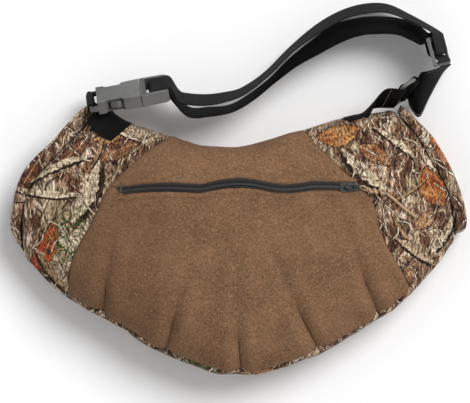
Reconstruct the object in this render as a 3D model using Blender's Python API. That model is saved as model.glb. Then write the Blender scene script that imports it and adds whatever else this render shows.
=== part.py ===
"""Hand warmer muff on a waist belt, lying on its back with the zip pocket up.

Frame: origin on the flat of the back, +X towards the right cuff, +Y towards the
belt, +Z out of the front. All driving sizes below are in millimetres.
"""

import bpy
import bmesh
from math import cos, sin, pi, radians, sqrt
from mathutils import Matrix, Vector

MM = 0.001
GAP = 0.3                 # kept between pieces that touch

# ---- muff body: a crescent tube, s = 0 at the left cuff and s = 1 at the right cuff
STATIONS = (0.0, 0.06, 0.22, 0.36, 0.5, 0.64, 0.78, 0.94, 1.0)
BELT_EDGE = ((-148.6, 135), (-135, 126), (-68.6, 100), (-33.6, 90.5), (0, 88.5),
             (33.4, 97), (66.4, 107), (148, 126), (160.4, 132))
LAP_EDGE = ((-221.6, -3), (-217, -9), (-168.6, -58.5), (-90.6, -106), (5.4, -134.8),
            (89.4, -106), (172.4, -53), (217, -3), (222.4, 6))
BOW = (-25, -22, -22, -9, 0, 9, 20, 17, 17)     # how far a cross line bows towards its cuff
EQUATOR = (30, 31, 36, 40, 42, 40, 36, 31, 30)  # height of the side seams
SECTION_POWER = 2.6       # superellipse power of the cross section
FLATTENING = 1.12         # lower half is this much deeper than the floor, then cut flat
FRONT_RADIUS = 780.0      # bend of the front along the zip
ZIP_Y = 50.5
ZIP_HEIGHT = 86.0         # front surface at the middle of the zip

SHELL = 2.0
POCKET_DEPTH = (2.8, 3.9)
INSULATION_DEPTH = (4.8, 13.0)
LINING_DEPTH = (13.8, 15.4)
CUFF_S = 0.052
SEAM_S = (0.22, 0.78)
LAP_SEAM_ANGLE = 17.0     # the front panels end this far above the lap edge
SEAM_GAP_S = 0.0008
SEAM_GAP_ANGLE = 0.25

# ---- zip
ZIP_START = -118.0
ZIP_END = 103.5
WINDOW = (-121.0, 118.0)
WINDOW_HALF = 9.8
CHAIN_HALF = 4.6
CHAIN_THICK = 2.2
CHAIN_LIFT = 0.2          # chain's underside above the front surface
TAPE_THICK = 0.8
SLIDER_LENGTH = 13.0
SLIDER_PLATE = 0.9
SLIDER_SLOT = 3.2
SLIDER_LIFT = -0.3        # slot's floor above the front surface
TAB_TILT = 12.0

# ---- webbing, buckle, ring and tri-glide
WEB_WIDTH = 38.0
WEB_THICK = 1.6
BUCKLE_CENTRE = (-109.9, 142.8, 46.0)
BUCKLE_HEADING = 10.7     # degrees from +X
BUCKLE_LEAN = 68.0        # degrees about its length: it stands on its north edge
BUCKLE_HALF_THICK = 6.0
ARM_HALF_THICK = 3.2
SOCKET_END = -40.0
SOCKET_MOUTH = 12.0
PLUG_END = 40.0
BAR_REACH = 22.0          # half length of the ring's and the tri-glide's bars
RING_WIRE = 2.0
RING_GAP = 14.0           # between the ring's two bars
RING_PLACE = (159.2, 141.9, 43.5)
RING_ALONG = (0.733, 0.471, -0.489)   # from the tab's bar to the belt's bar
RING_BAR = (-0.27, -0.457, -0.847)    # down along the bars
GLIDE_PLACE = (200.0, 187.0, 38.0)
GLIDE_HEADING = -75.0
GLIDE_LEAN = 70.0
GLIDE_THICK = 3.0

# edge points of the standing belt: low edge x, y, high edge x, y, middle height
OUTER_RUN = ((196.5, 211, 191.0, 206, 35), (173.4, 224, 169.4, 217, 31), (149.4, 234, 147.4, 225, 28),
             (125.4, 234, 125.4, 223, 25), (101.4, 228, 105.4, 218.5, 23), (77.4, 214, 81.4, 205, 21.5),
             (51.4, 192, 55.4, 186.5, 20.5), (26.4, 167, 30.4, 162, 22), (3.0, 151, 6.0, 143, 28),
             (-15.6, 146, -15.6, 135, 34), (-33.0, 144, -33.0, 132, 39), (-50.6, 145, -52.6, 133, 43),
             (-59.6, 148, -61.0, 136.5, 44))
INNER_RUN = ((-50.6, 132, -50.6, 121, 41), (-29.6, 131.5, -29.6, 121, 38), (-8.0, 134, -5.0, 126, 33),
             (11.4, 143.5, 16.0, 137.5, 28), (33.4, 161, 37.4, 156, 24), (55.4, 181, 61.0, 174, 23),
             (79.4, 200, 84.0, 189, 23), (102.4, 213, 106.0, 198, 24), (125.0, 218, 124.4, 203, 26),
             (145.0, 220, 142.4, 204, 28), (163.4, 219, 158.0, 203, 31), (181.0, 211, 171.0, 198, 33),
             (191.0, 205, 181.0, 193, 35))
ANCHOR_RUN = ((208.5, 163, 197.5, 165, 38), (203.0, 154, 188.0, 166, 38), (195.5, 144, 180.0, 166, 37),
              (184.0, 134, 176.5, 163.5, 36))

BELT_TAIL_SIDE = 2.2
LEFT_TAB_SEWN = ((0.135, -1.7), (0.115, -1.9), (0.095, -3.2))     # station and depth of the sewn rows
LEFT_TAB_TURN = (185, 130)
LEFT_TAB_FREE = ((-129, 130, -151, 118, 51),)
RIGHT_TAB_SEWN = ((0.865, -1.7), (0.885, -2.6), (0.9, -4.2))
RIGHT_TAB_TURN = (195, 155)
RIGHT_TAB_FREE = ((136.0, 130.0, 144.5, 147.0, 46),)

# ---- pull cord, from the knot by the tab to its free end
CORD_RADIUS = 1.4
CORD_ROUTE = ((146.6, 44.8, 76.0), (155.0, 38.0, 74.2), (164.0, 30.0, 73.2), (171.0, 25.0, 71.8),
              (177.0, 20.5, 70.2))
KNOT_CENTRE = (137.0, 46.4, 78.6)
KNOT_HALF = (9.0, 3.4, 3.0)
KNOT_HEADING = -8.0
KNOT_DIP = 8.0

collection = None
cutters = None


# ------------------------------------------------------------------ helpers
def reset_scene():
    global collection, cutters
    for item in list(bpy.data.objects):
        bpy.data.objects.remove(item, do_unlink=True)
    collection = bpy.data.collections.new("hand_warmer_muff")
    cutters = bpy.data.collections.new("cutters")
    bpy.context.scene.collection.children.link(collection)
    bpy.context.scene.collection.children.link(cutters)


def material(name, colour, roughness, metallic=0.0):
    made = bpy.data.materials.get(name)
    if made is None:
        made = bpy.data.materials.new(name)
        made.use_nodes = True
        shader = made.node_tree.nodes["Principled BSDF"]
        shader.inputs["Base Color"].default_value = (*colour, 1.0)
        shader.inputs["Roughness"].default_value = roughness
        shader.inputs["Metallic"].default_value = metallic
    return made


def brown_fleece():
    return material("brown_fleece", (0.15, 0.10, 0.065), 0.95)


def camouflage():
    return material("camouflage", (0.33, 0.25, 0.18), 0.9)


def black_webbing():
    return material("black_webbing", (0.012, 0.012, 0.013), 0.85)


def grey_plastic():
    return material("grey_plastic", (0.06, 0.06, 0.062), 0.45)


def black_metal():
    return material("black_metal", (0.02, 0.02, 0.022), 0.35, 0.6)


def mesh_object(name, vertices, faces, surface, smooth=True):
    mesh = bpy.data.meshes.new(name)
    mesh.from_pydata([tuple(MM * c for c in v) for v in vertices], [], faces)
    work = bmesh.new()
    work.from_mesh(mesh)
    bmesh.ops.recalc_face_normals(work, faces=work.faces)
    work.to_mesh(mesh)
    work.free()
    if smooth:
        mesh.shade_smooth()
        mesh.set_sharp_from_angle(angle=radians(35))
    mesh.materials.append(surface)
    made = bpy.data.objects.new(name, mesh)
    collection.objects.link(made)
    return made


def loft(name, sections, surface, cyclic=False):
    """A solid through like rings of points; the ends are capped unless it is cyclic."""
    count = len(sections[0])
    vertices = [p for ring in sections for p in ring]
    faces = []
    spans = len(sections) if cyclic else len(sections) - 1
    for i in range(spans):
        a = i * count
        b = ((i + 1) % len(sections)) * count
        for k in range(count):
            n = (k + 1) % count
            faces.append((a + k, a + n, b + n, b + k))
    if not cyclic:
        faces.append(tuple(range(count)))
        faces.append(tuple(range(len(vertices) - count, len(vertices))))
    return mesh_object(name, vertices, faces, surface)


def box(name, low, high, surface, parent=None):
    size = [b - a for a, b in zip(low, high)]
    middle = [(a + b) / 2 for a, b in zip(low, high)]
    work = bmesh.new()
    bmesh.ops.create_cube(work, size=1.0)
    bmesh.ops.scale(work, verts=work.verts, vec=[MM * c for c in size])
    bmesh.ops.translate(work, verts=work.verts, vec=[MM * c for c in middle])
    mesh = bpy.data.meshes.new(name)
    work.to_mesh(mesh)
    work.free()
    made = bpy.data.objects.new(name, mesh)
    if surface is None:
        hide_cutter(made)
    else:
        mesh.materials.append(surface)
        collection.objects.link(made)
    made.parent = parent
    return made


def hide_cutter(made):
    cutters.objects.link(made)
    made.hide_render = True
    made.display_type = "WIRE"


def plate(name, outline, low, high, surface, parent=None, plane="XY", holes=()):
    """A flat outline, with any holes, extruded from low to high along the axis off its plane."""
    curve = bpy.data.curves.new(name, "CURVE")
    curve.dimensions = "2D"
    curve.fill_mode = "BOTH"
    curve.extrude = MM * (high - low) / 2
    for edge in (outline, *holes):
        spline = curve.splines.new("POLY")
        spline.points.add(len(edge) - 1)
        for point, place in zip(spline.points, edge):
            point.co = (MM * place[0], MM * place[1], 0.0, 1.0)
        spline.use_cyclic_u = True
    raw = bpy.data.objects.new(name + "_outline", curve)
    bpy.context.scene.collection.objects.link(raw)
    shift = Matrix.Translation((0, 0, MM * (high + low) / 2))
    if plane == "XZ":
        shift = Matrix.Rotation(pi / 2, 4, "X") @ Matrix.Translation((0, 0, -MM * (high + low) / 2))
    mesh = curve_to_mesh(raw)
    mesh.transform(shift)
    made = bpy.data.objects.new(name, mesh)
    if surface is None:
        hide_cutter(made)
    else:
        mesh.materials.append(surface)
        collection.objects.link(made)
    made.parent = parent
    return made


def curve_to_mesh(raw):
    bpy.context.view_layer.update()
    evaluated = raw.evaluated_get(bpy.context.evaluated_depsgraph_get())
    mesh = bpy.data.meshes.new_from_object(evaluated)
    mesh.materials.clear()
    work = bmesh.new()
    work.from_mesh(mesh)
    bmesh.ops.remove_doubles(work, verts=work.verts, dist=1e-6)
    bmesh.ops.recalc_face_normals(work, faces=work.faces)
    work.to_mesh(mesh)
    work.free()
    bpy.data.objects.remove(raw, do_unlink=True)
    return mesh


def tube(name, points, radius, surface, cyclic=False, parent=None):
    curve = bpy.data.curves.new(name, "CURVE")
    curve.dimensions = "3D"
    curve.bevel_depth = MM * radius
    curve.bevel_resolution = 2
    curve.use_fill_caps = not cyclic
    spline = curve.splines.new("POLY")
    spline.points.add(len(points) - 1)
    for point, place in zip(spline.points, points):
        point.co = (*[MM * c for c in place], 1.0)
    spline.use_cyclic_u = cyclic
    curve.materials.append(surface)
    made = bpy.data.objects.new(name, curve)
    collection.objects.link(made)
    made.parent = parent
    return made


def boolean(target, tool, operation="DIFFERENCE", solver="EXACT"):
    cut = target.modifiers.new(operation.title(), "BOOLEAN")
    cut.operation = operation
    cut.object = tool
    cut.solver = solver


def smooth_curve(knots, values, place):
    """Catmull-Rom value at place through (knot, value) pairs; values are numbers or tuples."""
    i = max(k for k in range(len(knots) - 1) if knots[k] <= place + 1e-9)
    a, b = knots[i], knots[i + 1]
    u = (place - a) / (b - a)
    p = [Vector(v) if isinstance(v, tuple) else v for v in values]
    p1, p2 = p[i], p[i + 1]
    m1 = (p2 - p[i - 1]) / (b - knots[i - 1]) if i else (p2 - p1) / (b - a)
    m2 = (p[i + 2] - p1) / (knots[i + 2] - a) if i + 2 < len(p) else (p2 - p1) / (b - a)
    u2, u3 = u * u, u * u * u
    return (p1 * (2 * u3 - 3 * u2 + 1) + m1 * ((b - a) * (u3 - 2 * u2 + u))
            + p2 * (3 * u2 - 2 * u3) + m2 * ((b - a) * (u3 - u2)))


def through(points, steps):
    """Points along a smooth curve through the given ones, steps to each span."""
    knots = tuple(range(len(points)))
    values = tuple(tuple(p) for p in points)
    count = (len(points) - 1) * steps
    return [smooth_curve(knots, values, i / steps) for i in range(count + 1)]


# ------------------------------------------------------------------ muff surface
def front_arc(x):
    """Height of the front along the zip line."""
    return ZIP_HEIGHT - FRONT_RADIUS + sqrt(FRONT_RADIUS ** 2 - x * x)


def plan(s, t):
    """Plan point at station s, from the belt edge (t = 0) to the lap edge (t = 1)."""
    belt = smooth_curve(STATIONS, BELT_EDGE, s)
    lap = smooth_curve(STATIONS, LAP_EDGE, s)
    bow = smooth_curve(STATIONS, BOW, s)
    chord = lap - belt
    across = Vector((-chord.y, chord.x)).normalized()
    return belt + chord * t + across * (4 * t * (1 - t) * bow)


def rise(s):
    """Height of the front above the side seams at station s."""
    low, high = 0.0, 1.0
    for _ in range(40):
        t = (low + high) / 2
        if plan(s, t).y > ZIP_Y:
            low = t
        else:
            high = t
    across = abs(2 * t - 1)
    shape = (1 - across ** SECTION_POWER) ** (1 / SECTION_POWER)
    return (front_arc(plan(s, t).x) - smooth_curve(STATIONS, EQUATOR, s)) / shape


def skin(s, angle, depth):
    """Point of the muff: angle 0 at the lap edge, 90 on the front, 180 at the belt edge."""
    turn = radians(angle)
    power = 2 / SECTION_POWER
    across = abs(cos(turn)) ** power * (1 if cos(turn) > 0 else -1)
    up = abs(sin(turn)) ** power * (1 if sin(turn) > 0 else -1)
    length = (plan(s, 1) - plan(s, 0)).length
    across *= 1 - 2 * depth / length
    place = plan(s, (1 + across) / 2)
    middle = smooth_curve(STATIONS, EQUATOR, s)
    if up > 0:
        height = middle + (rise(s) - depth) * up
    else:
        height = max(depth, middle + (middle * FLATTENING - depth) * up)
    return Vector((place.x, place.y, height))


def spaced(low, high, count):
    return [low + (high - low) * i / (count - 1) for i in range(count)]


FULL_TURN = [i * 15.0 for i in range(24)]
GRID = (spaced(CUFF_S, SEAM_S[0], 7)[:-1] + spaced(SEAM_S[0], SEAM_S[1], 17)[:-1]
        + spaced(SEAM_S[1], 1 - CUFF_S, 7))
COARSE_GRID = GRID[::2]


def between(values, low, high):
    """The shared grid values inside a range, with the range's own two ends."""
    return [low] + [v for v in values if low + 0.003 < v < high - 0.003] + [high]


def layer(name, stations, angles, depths, surface):
    """A wall of the muff between two depths: a tube for a full turn, else a panel."""
    tube_like = angles is FULL_TURN
    rings = []
    for angle in angles:
        outer = [skin(s, angle, depths[0]) for s in stations]
        inner = [skin(s, angle, depths[1]) for s in reversed(stations)]
        rings.append(outer + inner)
    count = len(stations)
    vertices = [p for ring in rings for p in ring]
    size = 2 * count
    faces = []
    for i in range(len(rings) if tube_like else len(rings) - 1):
        a, b = i * size, ((i + 1) % len(rings)) * size
        for k in range(size):
            n = (k + 1) % size
            faces.append((a + k, a + n, b + n, b + k))
    if not tube_like:
        for a in (0, (len(rings) - 1) * size):
            for k in range(count - 1):
                faces.append((a + k, a + k + 1, a + size - 2 - k, a + size - 1 - k))
    return mesh_object(name, vertices, faces, surface)


def hem(name, outline, surface):
    """A ring round a cuff: an outline of (station, depth) taken round the muff."""
    rings = [[skin(s, angle, depth) for s, depth in outline] for angle in FULL_TURN]
    return loft(name, rings, surface, cyclic=True)


def cuff_outline(end):
    """Folded hem: outer wall, rolled end, inner wall, open towards the body."""
    wall = 0.009

    def at(distance):
        return distance if end == 0 else 1 - distance
    return [(at(CUFF_S), 0), (at(0.006), 0), (at(0.0), 4), (at(0.0), 9), (at(0.006), 13),
            (at(CUFF_S), 13), (at(CUFF_S), 11.2), (at(wall), 11.2), (at(wall), 1.8), (at(CUFF_S), 1.8)]


def elastic_outline(end):
    def at(distance):
        return distance if end == 0 else 1 - distance
    return [(at(0.012), 5), (at(CUFF_S - 0.006), 5), (at(CUFF_S - 0.006), 8), (at(0.012), 8)]


def build_shell():
    left, right = SEAM_S
    half = SEAM_GAP_S
    turns = [15.0 * i for i in range(60)]
    front_angles = between(turns, LAP_SEAM_ANGLE, 180.0)
    back_angles = between(turns, 180.0 + SEAM_GAP_ANGLE, 360.0 + LAP_SEAM_ANGLE - SEAM_GAP_ANGLE)
    window = box("zip_window", (WINDOW[0], ZIP_Y - WINDOW_HALF, 50),
                 (WINDOW[1], ZIP_Y + WINDOW_HALF, 110), None)
    front = layer("front_panel", between(GRID, left + half, right - half), front_angles,
                  (0, SHELL), brown_fleece())
    boolean(front, window)
    layer("side_panel_left", between(GRID, CUFF_S + half, left - half), front_angles,
          (0, SHELL), camouflage())
    layer("side_panel_right", between(GRID, right + half, 1 - CUFF_S - half), front_angles,
          (0, SHELL), camouflage())
    layer("back_panel", between(GRID, CUFF_S + half, 1 - CUFF_S - half), back_angles,
          (0, SHELL), camouflage())
    padding = material("white_padding", (0.7, 0.7, 0.68), 0.95)
    layer("insulation", between(COARSE_GRID, CUFF_S + half, 1 - CUFF_S - half), FULL_TURN,
          INSULATION_DEPTH, padding)
    fleece = material("lining_fleece", (0.05, 0.045, 0.04), 0.95)
    layer("lining", [0.004] + COARSE_GRID + [0.996], FULL_TURN, LINING_DEPTH, fleece)
    elastic = material("elastic", (0.6, 0.6, 0.58), 0.8)
    for side, end in (("left", 0), ("right", 1)):
        hem("cuff_" + side, cuff_outline(end), camouflage())
        hem("elastic_" + side, elastic_outline(end), elastic)
    layer("pocket_bag", COARSE_GRID[4:-4], turns[4:11], POCKET_DEPTH, fleece)


# ------------------------------------------------------------------ zip
def arc_strip(name, x_range, y_range, z_range, steps, surface):
    """A strip along the zip line, its heights counted from the front surface."""
    sections = []
    for x in spaced(x_range[0], x_range[1], steps):
        z = front_arc(x)
        sections.append([(x, y_range[0], z + z_range[0]), (x, y_range[1], z + z_range[0]),
                         (x, y_range[1], z + z_range[1]), (x, y_range[0], z + z_range[1])])
    return loft(name, sections, surface)


def build_zip():
    tape = material("zip_tape", (0.015, 0.015, 0.016), 0.9)
    teeth = material("zip_teeth", (0.02, 0.02, 0.021), 0.4)
    for side, sign in (("upper", 1), ("lower", -1)):
        inner = ZIP_Y + sign * (CHAIN_HALF + GAP)
        outer = ZIP_Y + sign * (WINDOW_HALF - GAP)
        arc_strip("zip_tape_" + side, (WINDOW[0] + GAP, WINDOW[1] - GAP), (inner, outer),
                  (CHAIN_LIFT + 0.6, CHAIN_LIFT + 0.6 + TAPE_THICK), 20, tape)
        near = ZIP_Y + sign * GAP / 2
        far = ZIP_Y + sign * CHAIN_HALF
        arc_strip("zip_teeth_" + side, (ZIP_START + 2.5, ZIP_END), (near, far),
                  (CHAIN_LIFT, CHAIN_LIFT + CHAIN_THICK), 20, teeth)
        stop_near = ZIP_Y + sign * 1.2
        arc_strip("zip_top_stop_" + side, (WINDOW[1] - 3.4, WINDOW[1] - 1.4), (stop_near, far),
                  (CHAIN_LIFT, CHAIN_LIFT + CHAIN_THICK), 2, black_metal())
    arc_strip("zip_bottom_stop", (ZIP_START, ZIP_START + 2.2), (ZIP_Y - CHAIN_HALF, ZIP_Y + CHAIN_HALF),
              (CHAIN_LIFT, CHAIN_LIFT + CHAIN_THICK + 0.6), 2, black_metal())


def build_slider():
    """Slider with its plates, neck and bail; the pull tab swings on the bail."""
    middle = ZIP_END + 3.5
    tilt = -middle / FRONT_RADIUS
    frame = bpy.data.objects.new("slider_frame", None)
    collection.objects.link(frame)
    frame.location = (MM * middle, MM * ZIP_Y, MM * front_arc(middle))
    frame.rotation_euler = (0, -tilt, 0)
    half = SLIDER_LENGTH / 2
    floor = SLIDER_LIFT
    roof = floor + SLIDER_SLOT
    top = roof + SLIDER_PLATE
    profile = [(-half, floor - SLIDER_PLATE), (half - 2, floor - SLIDER_PLATE), (half, floor),
               (half, roof), (half - 2, top), (-half, top), (-half, roof), (half - 3, roof),
               (half - 3, floor), (-half, floor)]
    body = plate("zip_slider", profile, -CHAIN_HALF, CHAIN_HALF, black_metal(), frame, "XZ")
    bail = plate("slider_bail", [(-3.4, top - 0.5), (3.6, top - 0.5), (2.6, top + 4.1), (-2.0, top + 4.1)],
                 -0.9, 0.9, None, frame, "XZ",
                 [[(-1.1, top + 0.3), (-0.8, top + 3.2), (1.6, top + 3.2), (2.0, top + 0.3)]])
    boolean(body, bail, "UNION", "MANIFOLD")
    hinge_z = top + 2.2
    hinge = bpy.data.objects.new("tab_hinge", None)
    collection.objects.link(hinge)
    hinge.parent = frame
    hinge.location = (MM * 0.5, 0, MM * hinge_z)
    hinge.rotation_euler = (0, radians(TAB_TILT), 0)
    tab = plate("zip_pull_tab", [(-0.7, -2.8), (14.5, -2.8), (16.5, -1.6), (17.2, 0), (16.5, 1.6),
                                 (14.5, 2.8), (-0.7, 2.8)], -0.6, 0.6, black_metal(), hinge)
    boolean(tab, box("tab_bail_window", (0.6, -1.5, -3), (6.5, 1.5, 3), None, hinge))
    boolean(tab, box("tab_cord_hole", (11.2, -1.4, -3), (14.6, 1.4, 3), None, hinge))


# ------------------------------------------------------------------ pull cord
def build_cord():
    cord = material("tan_cord", (0.42, 0.29, 0.17), 0.8)
    tube("pull_cord", through(CORD_ROUTE, 4), CORD_RADIUS, cord)
    work = bmesh.new()
    bmesh.ops.create_uvsphere(work, u_segments=12, v_segments=8, radius=MM)
    mesh = bpy.data.meshes.new("pull_cord_knot")
    work.to_mesh(mesh)
    work.free()
    mesh.shade_smooth()
    mesh.materials.append(cord)
    turn = Matrix.Rotation(radians(KNOT_HEADING), 4, "Z") @ Matrix.Rotation(radians(KNOT_DIP), 4, "Y")
    place = Matrix.Translation([MM * c for c in KNOT_CENTRE])
    mesh.transform(place @ turn @ Matrix.Diagonal((*KNOT_HALF, 1.0)))
    collection.objects.link(bpy.data.objects.new("pull_cord_knot", mesh))


# ------------------------------------------------------------------ buckle
def buckle_matrix():
    heading = Matrix.Rotation(radians(BUCKLE_HEADING), 4, "Z")
    return Matrix.Translation(BUCKLE_CENTRE) @ heading @ Matrix.Rotation(radians(-BUCKLE_LEAN), 4, "X")


def frame_empty(name, matrix):
    """An empty that carries a group of parts drawn in their own frame."""
    empty = bpy.data.objects.new(name, None)
    collection.objects.link(empty)
    scaled = matrix.copy()
    scaled.translation = matrix.translation * MM
    empty.matrix_world = scaled
    return empty


def mirrored(half):
    """A closed outline from the half above the X axis, listed with rising X."""
    return half + [(x, -y) for x, y in reversed(half)]


def build_buckle():
    empty = frame_empty("buckle_frame", buckle_matrix())
    thick = BUCKLE_HALF_THICK
    outline = mirrored([(SOCKET_END, 21), (SOCKET_END + 3, 23), (-25, 23), (-22, 19), (-8, 19),
                        (-5, 24), (SOCKET_MOUTH - 1, 25), (SOCKET_MOUTH, 24)])
    socket = plate("buckle_socket", outline, -thick, thick, grey_plastic(), empty)
    cavity = mirrored([(-24, 11.5), (-8, 16), (-5, 21), (SOCKET_MOUTH + 2, 22)])
    boolean(socket, plate("socket_cavity", cavity, -3.8, 3.8, None, empty))
    for side in (-1, 1):
        low, high = sorted((side * 10, side * 30))
        boolean(socket, box("latch_window", (-21, low, -3.8), (-7.5, high, 3.8), None, empty))
        low, high = sorted((side * 2.4, side * 9))
        boolean(socket, box("bar_relief", (SOCKET_END - 1, -30, low), (-31.8, 30, high), None, empty))
    boolean(socket, box("socket_slot", (-37.2, -20, -9), (-31.8, 20, 9), None, empty))

    plug_outline = mirrored([(SOCKET_MOUTH + GAP, 24), (SOCKET_MOUTH + 1, 25), (PLUG_END - 3, 24),
                             (PLUG_END, 21)])
    plug = plate("buckle_plug", plug_outline, -thick, thick, grey_plastic(), empty)
    boolean(plug, box("plug_slot_inner", (18, -20, -9), (23.6, 20, 9), None, empty))
    boolean(plug, box("plug_slot_outer", (28.4, -20, -9), (35.2, 20, 9), None, empty))
    for side in (-1, 1):
        low, high = sorted((side * 2.4, side * 9))
        boolean(plug, box("strap_relief", (18, -20, low), (PLUG_END + 1, 20, high), None, empty))
    tongue = plate("plug_tongue", mirrored([(-16, 2.5), (-14, 3.5), (SOCKET_MOUTH + 3, 4.5)]),
                   -2.6, 2.6, None, empty)
    boolean(plug, tongue, "UNION")
    for side, sign in (("upper", -1), ("lower", 1)):
        arm = [(SOCKET_MOUTH - GAP, 11.0), (SOCKET_MOUTH - GAP, 14.5), (4, 14.0), (-7.2, 13.0),
               (-7.9, 20.5), (-12, 21.5), (-19, 17.0), (-20.4, 13.0), (-14, 10.2), (-6, 9.4)]
        if sign < 0:
            arm = [(x, -y) for x, y in reversed(arm)]
        plate("buckle_arm_" + side, arm, -ARM_HALF_THICK, ARM_HALF_THICK, grey_plastic(), empty)


# ------------------------------------------------------------------ ring and tri-glide
def ring_matrix():
    along = Vector(RING_ALONG).normalized()
    bar = Vector(RING_BAR)
    bar = (bar - along * bar.dot(along)).normalized()
    turn = Matrix((along, bar, along.cross(bar))).transposed().to_4x4()
    return Matrix.Translation(RING_PLACE) @ turn


def glide_matrix():
    heading = Matrix.Rotation(radians(GLIDE_HEADING), 4, "Z")
    return Matrix.Translation(GLIDE_PLACE) @ heading @ Matrix.Rotation(radians(-GLIDE_LEAN), 4, "X")


def build_ring():
    empty = frame_empty("ring_frame", ring_matrix())
    corner = 3.0
    outline = []
    for x, y, start in ((RING_GAP - corner, BAR_REACH - corner, 0), (corner, BAR_REACH - corner, 90),
                        (corner, corner - BAR_REACH, 180), (RING_GAP - corner, corner - BAR_REACH, 270)):
        for angle in spaced(start, start + 90, 4):
            outline.append((x + corner * cos(radians(angle)), y + corner * sin(radians(angle)), 0))
    tube("strap_ring", outline, RING_WIRE, grey_plastic(), cyclic=True, parent=empty)


def build_glide():
    empty = frame_empty("glide_frame", glide_matrix())
    half = GLIDE_THICK / 2
    outline = mirrored([(-15, BAR_REACH + 1), (-13, BAR_REACH + 3), (13, BAR_REACH + 3), (15, BAR_REACH + 1)])
    slots = [[(side * 1.4, -BAR_REACH), (side * 10.5, -BAR_REACH), (side * 10.5, BAR_REACH),
              (side * 1.4, BAR_REACH)]
             for side in (-1, 1)]
    plate("tri_glide", outline, -half, half, material("silver_metal", (0.55, 0.55, 0.56), 0.3, 0.9),
          empty, holes=slots)


# ------------------------------------------------------------------ webbing
def webbing(name, rows):
    """A strip whose middle surface runs through rows of points, low edge to high edge."""
    sections = []
    for i, row in enumerate(rows):
        before = rows[max(i - 1, 0)]
        after = rows[min(i + 1, len(rows) - 1)]
        under = []
        over = []
        for k, point in enumerate(row):
            across = row[min(k + 1, len(row) - 1)] - row[max(k - 1, 0)]
            off = (after[k] - before[k]).cross(across).normalized() * (WEB_THICK / 2)
            under.append(point - off)
            over.append(point + off)
        sections.append(under + over[::-1])
    return loft(name, sections, black_webbing())


def standing(points):
    """Flat rows from (low x, low y, high x, high y, middle height)."""
    rows = []
    for low_x, low_y, high_x, high_y, middle in points:
        flat = min(sqrt((high_x - low_x) ** 2 + (high_y - low_y) ** 2), WEB_WIDTH - 0.5)
        half = sqrt(WEB_WIDTH ** 2 - flat ** 2) / 2
        rows.append([Vector((low_x, low_y, middle - half)), Vector((high_x, high_y, middle + half))])
    return rows


def eased(rows, steps):
    """More rows, along smooth curves through the given ones' points."""
    tracks = [through([row[k] for row in rows], steps) for k in range(len(rows[0]))]
    return [list(row) for row in zip(*tracks)]


def local_row(matrix, x, z):
    """A flat row across a bar's frame, low edge first."""
    half = WEB_WIDTH / 2
    return [matrix @ Vector((x, half, z)), matrix @ Vector((x, -half, z))]


def bar_turn(matrix, x, radius, start, end, steps):
    """Rows round a bar, from one angle to another in its frame's XZ plane."""
    return [local_row(matrix, x + radius * cos(radians(a)), radius * sin(radians(a)))
            for a in spaced(start, end, steps)]


def beside(rows, distance):
    """The same rows moved off their surface."""
    moved = []
    for i, row in enumerate(rows):
        run = rows[min(i + 1, len(rows) - 1)][0] - rows[max(i - 1, 0)][0]
        off = run.cross(row[-1] - row[0]).normalized() * distance
        moved.append([p + off for p in row])
    return moved


def widened(row, count):
    """A flat row with more points across it."""
    return [row[0].lerp(row[-1], k / (count - 1)) for k in range(count)]


def build_belt():
    buckle, ring, glide = buckle_matrix(), ring_matrix(), glide_matrix()
    clear = WEB_THICK / 2 + GAP
    bar = sqrt(GLIDE_THICK ** 2 / 4 + 1.4 ** 2) + clear + 0.05
    rows = [local_row(glide, -20, -bar), local_row(glide, -8, -bar)]
    rows += bar_turn(glide, 0, bar, 270, 450, 7)
    rows += [local_row(glide, -8, bar)]
    plug_side = 2.4 * sqrt(2) + clear
    rows += eased([local_row(glide, -16, bar)] + standing(OUTER_RUN)
                  + [local_row(buckle, PLUG_END + 3, plug_side + 0.4), local_row(buckle, 32, plug_side)], 3)
    rows += bar_turn(buckle, 26, plug_side, 90, 270, 7)
    rows += [local_row(buckle, 32, -plug_side)]
    rows += eased([local_row(buckle, PLUG_END, -plug_side)] + standing(INNER_RUN)
                  + [local_row(glide, -11, -5.9)], 3)
    rows += [local_row(glide, x, z) for x, z in
             ((-6, -5.7), (0, -5.6), (3, -4.2), (6.4, 0.4), (9.5, 3.2), (12.5, 3.4))]
    ring_side = RING_WIRE + clear
    anchor = eased([local_row(glide, 15.8, 3.4)] + standing(ANCHOR_RUN)
                   + [local_row(ring, RING_GAP + 5, -ring_side), local_row(ring, RING_GAP, -ring_side)], 3)
    rows += anchor
    rows += bar_turn(ring, RING_GAP, ring_side, 240, 120, 5)
    rows += [local_row(ring, RING_GAP, ring_side), local_row(ring, RING_GAP + 4, ring_side)]
    rows += [beside(anchor, BELT_TAIL_SIDE)[i] for i in range(len(anchor) - 5, len(anchor) - 11, -1)]
    webbing("belt_webbing", rows)


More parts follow.
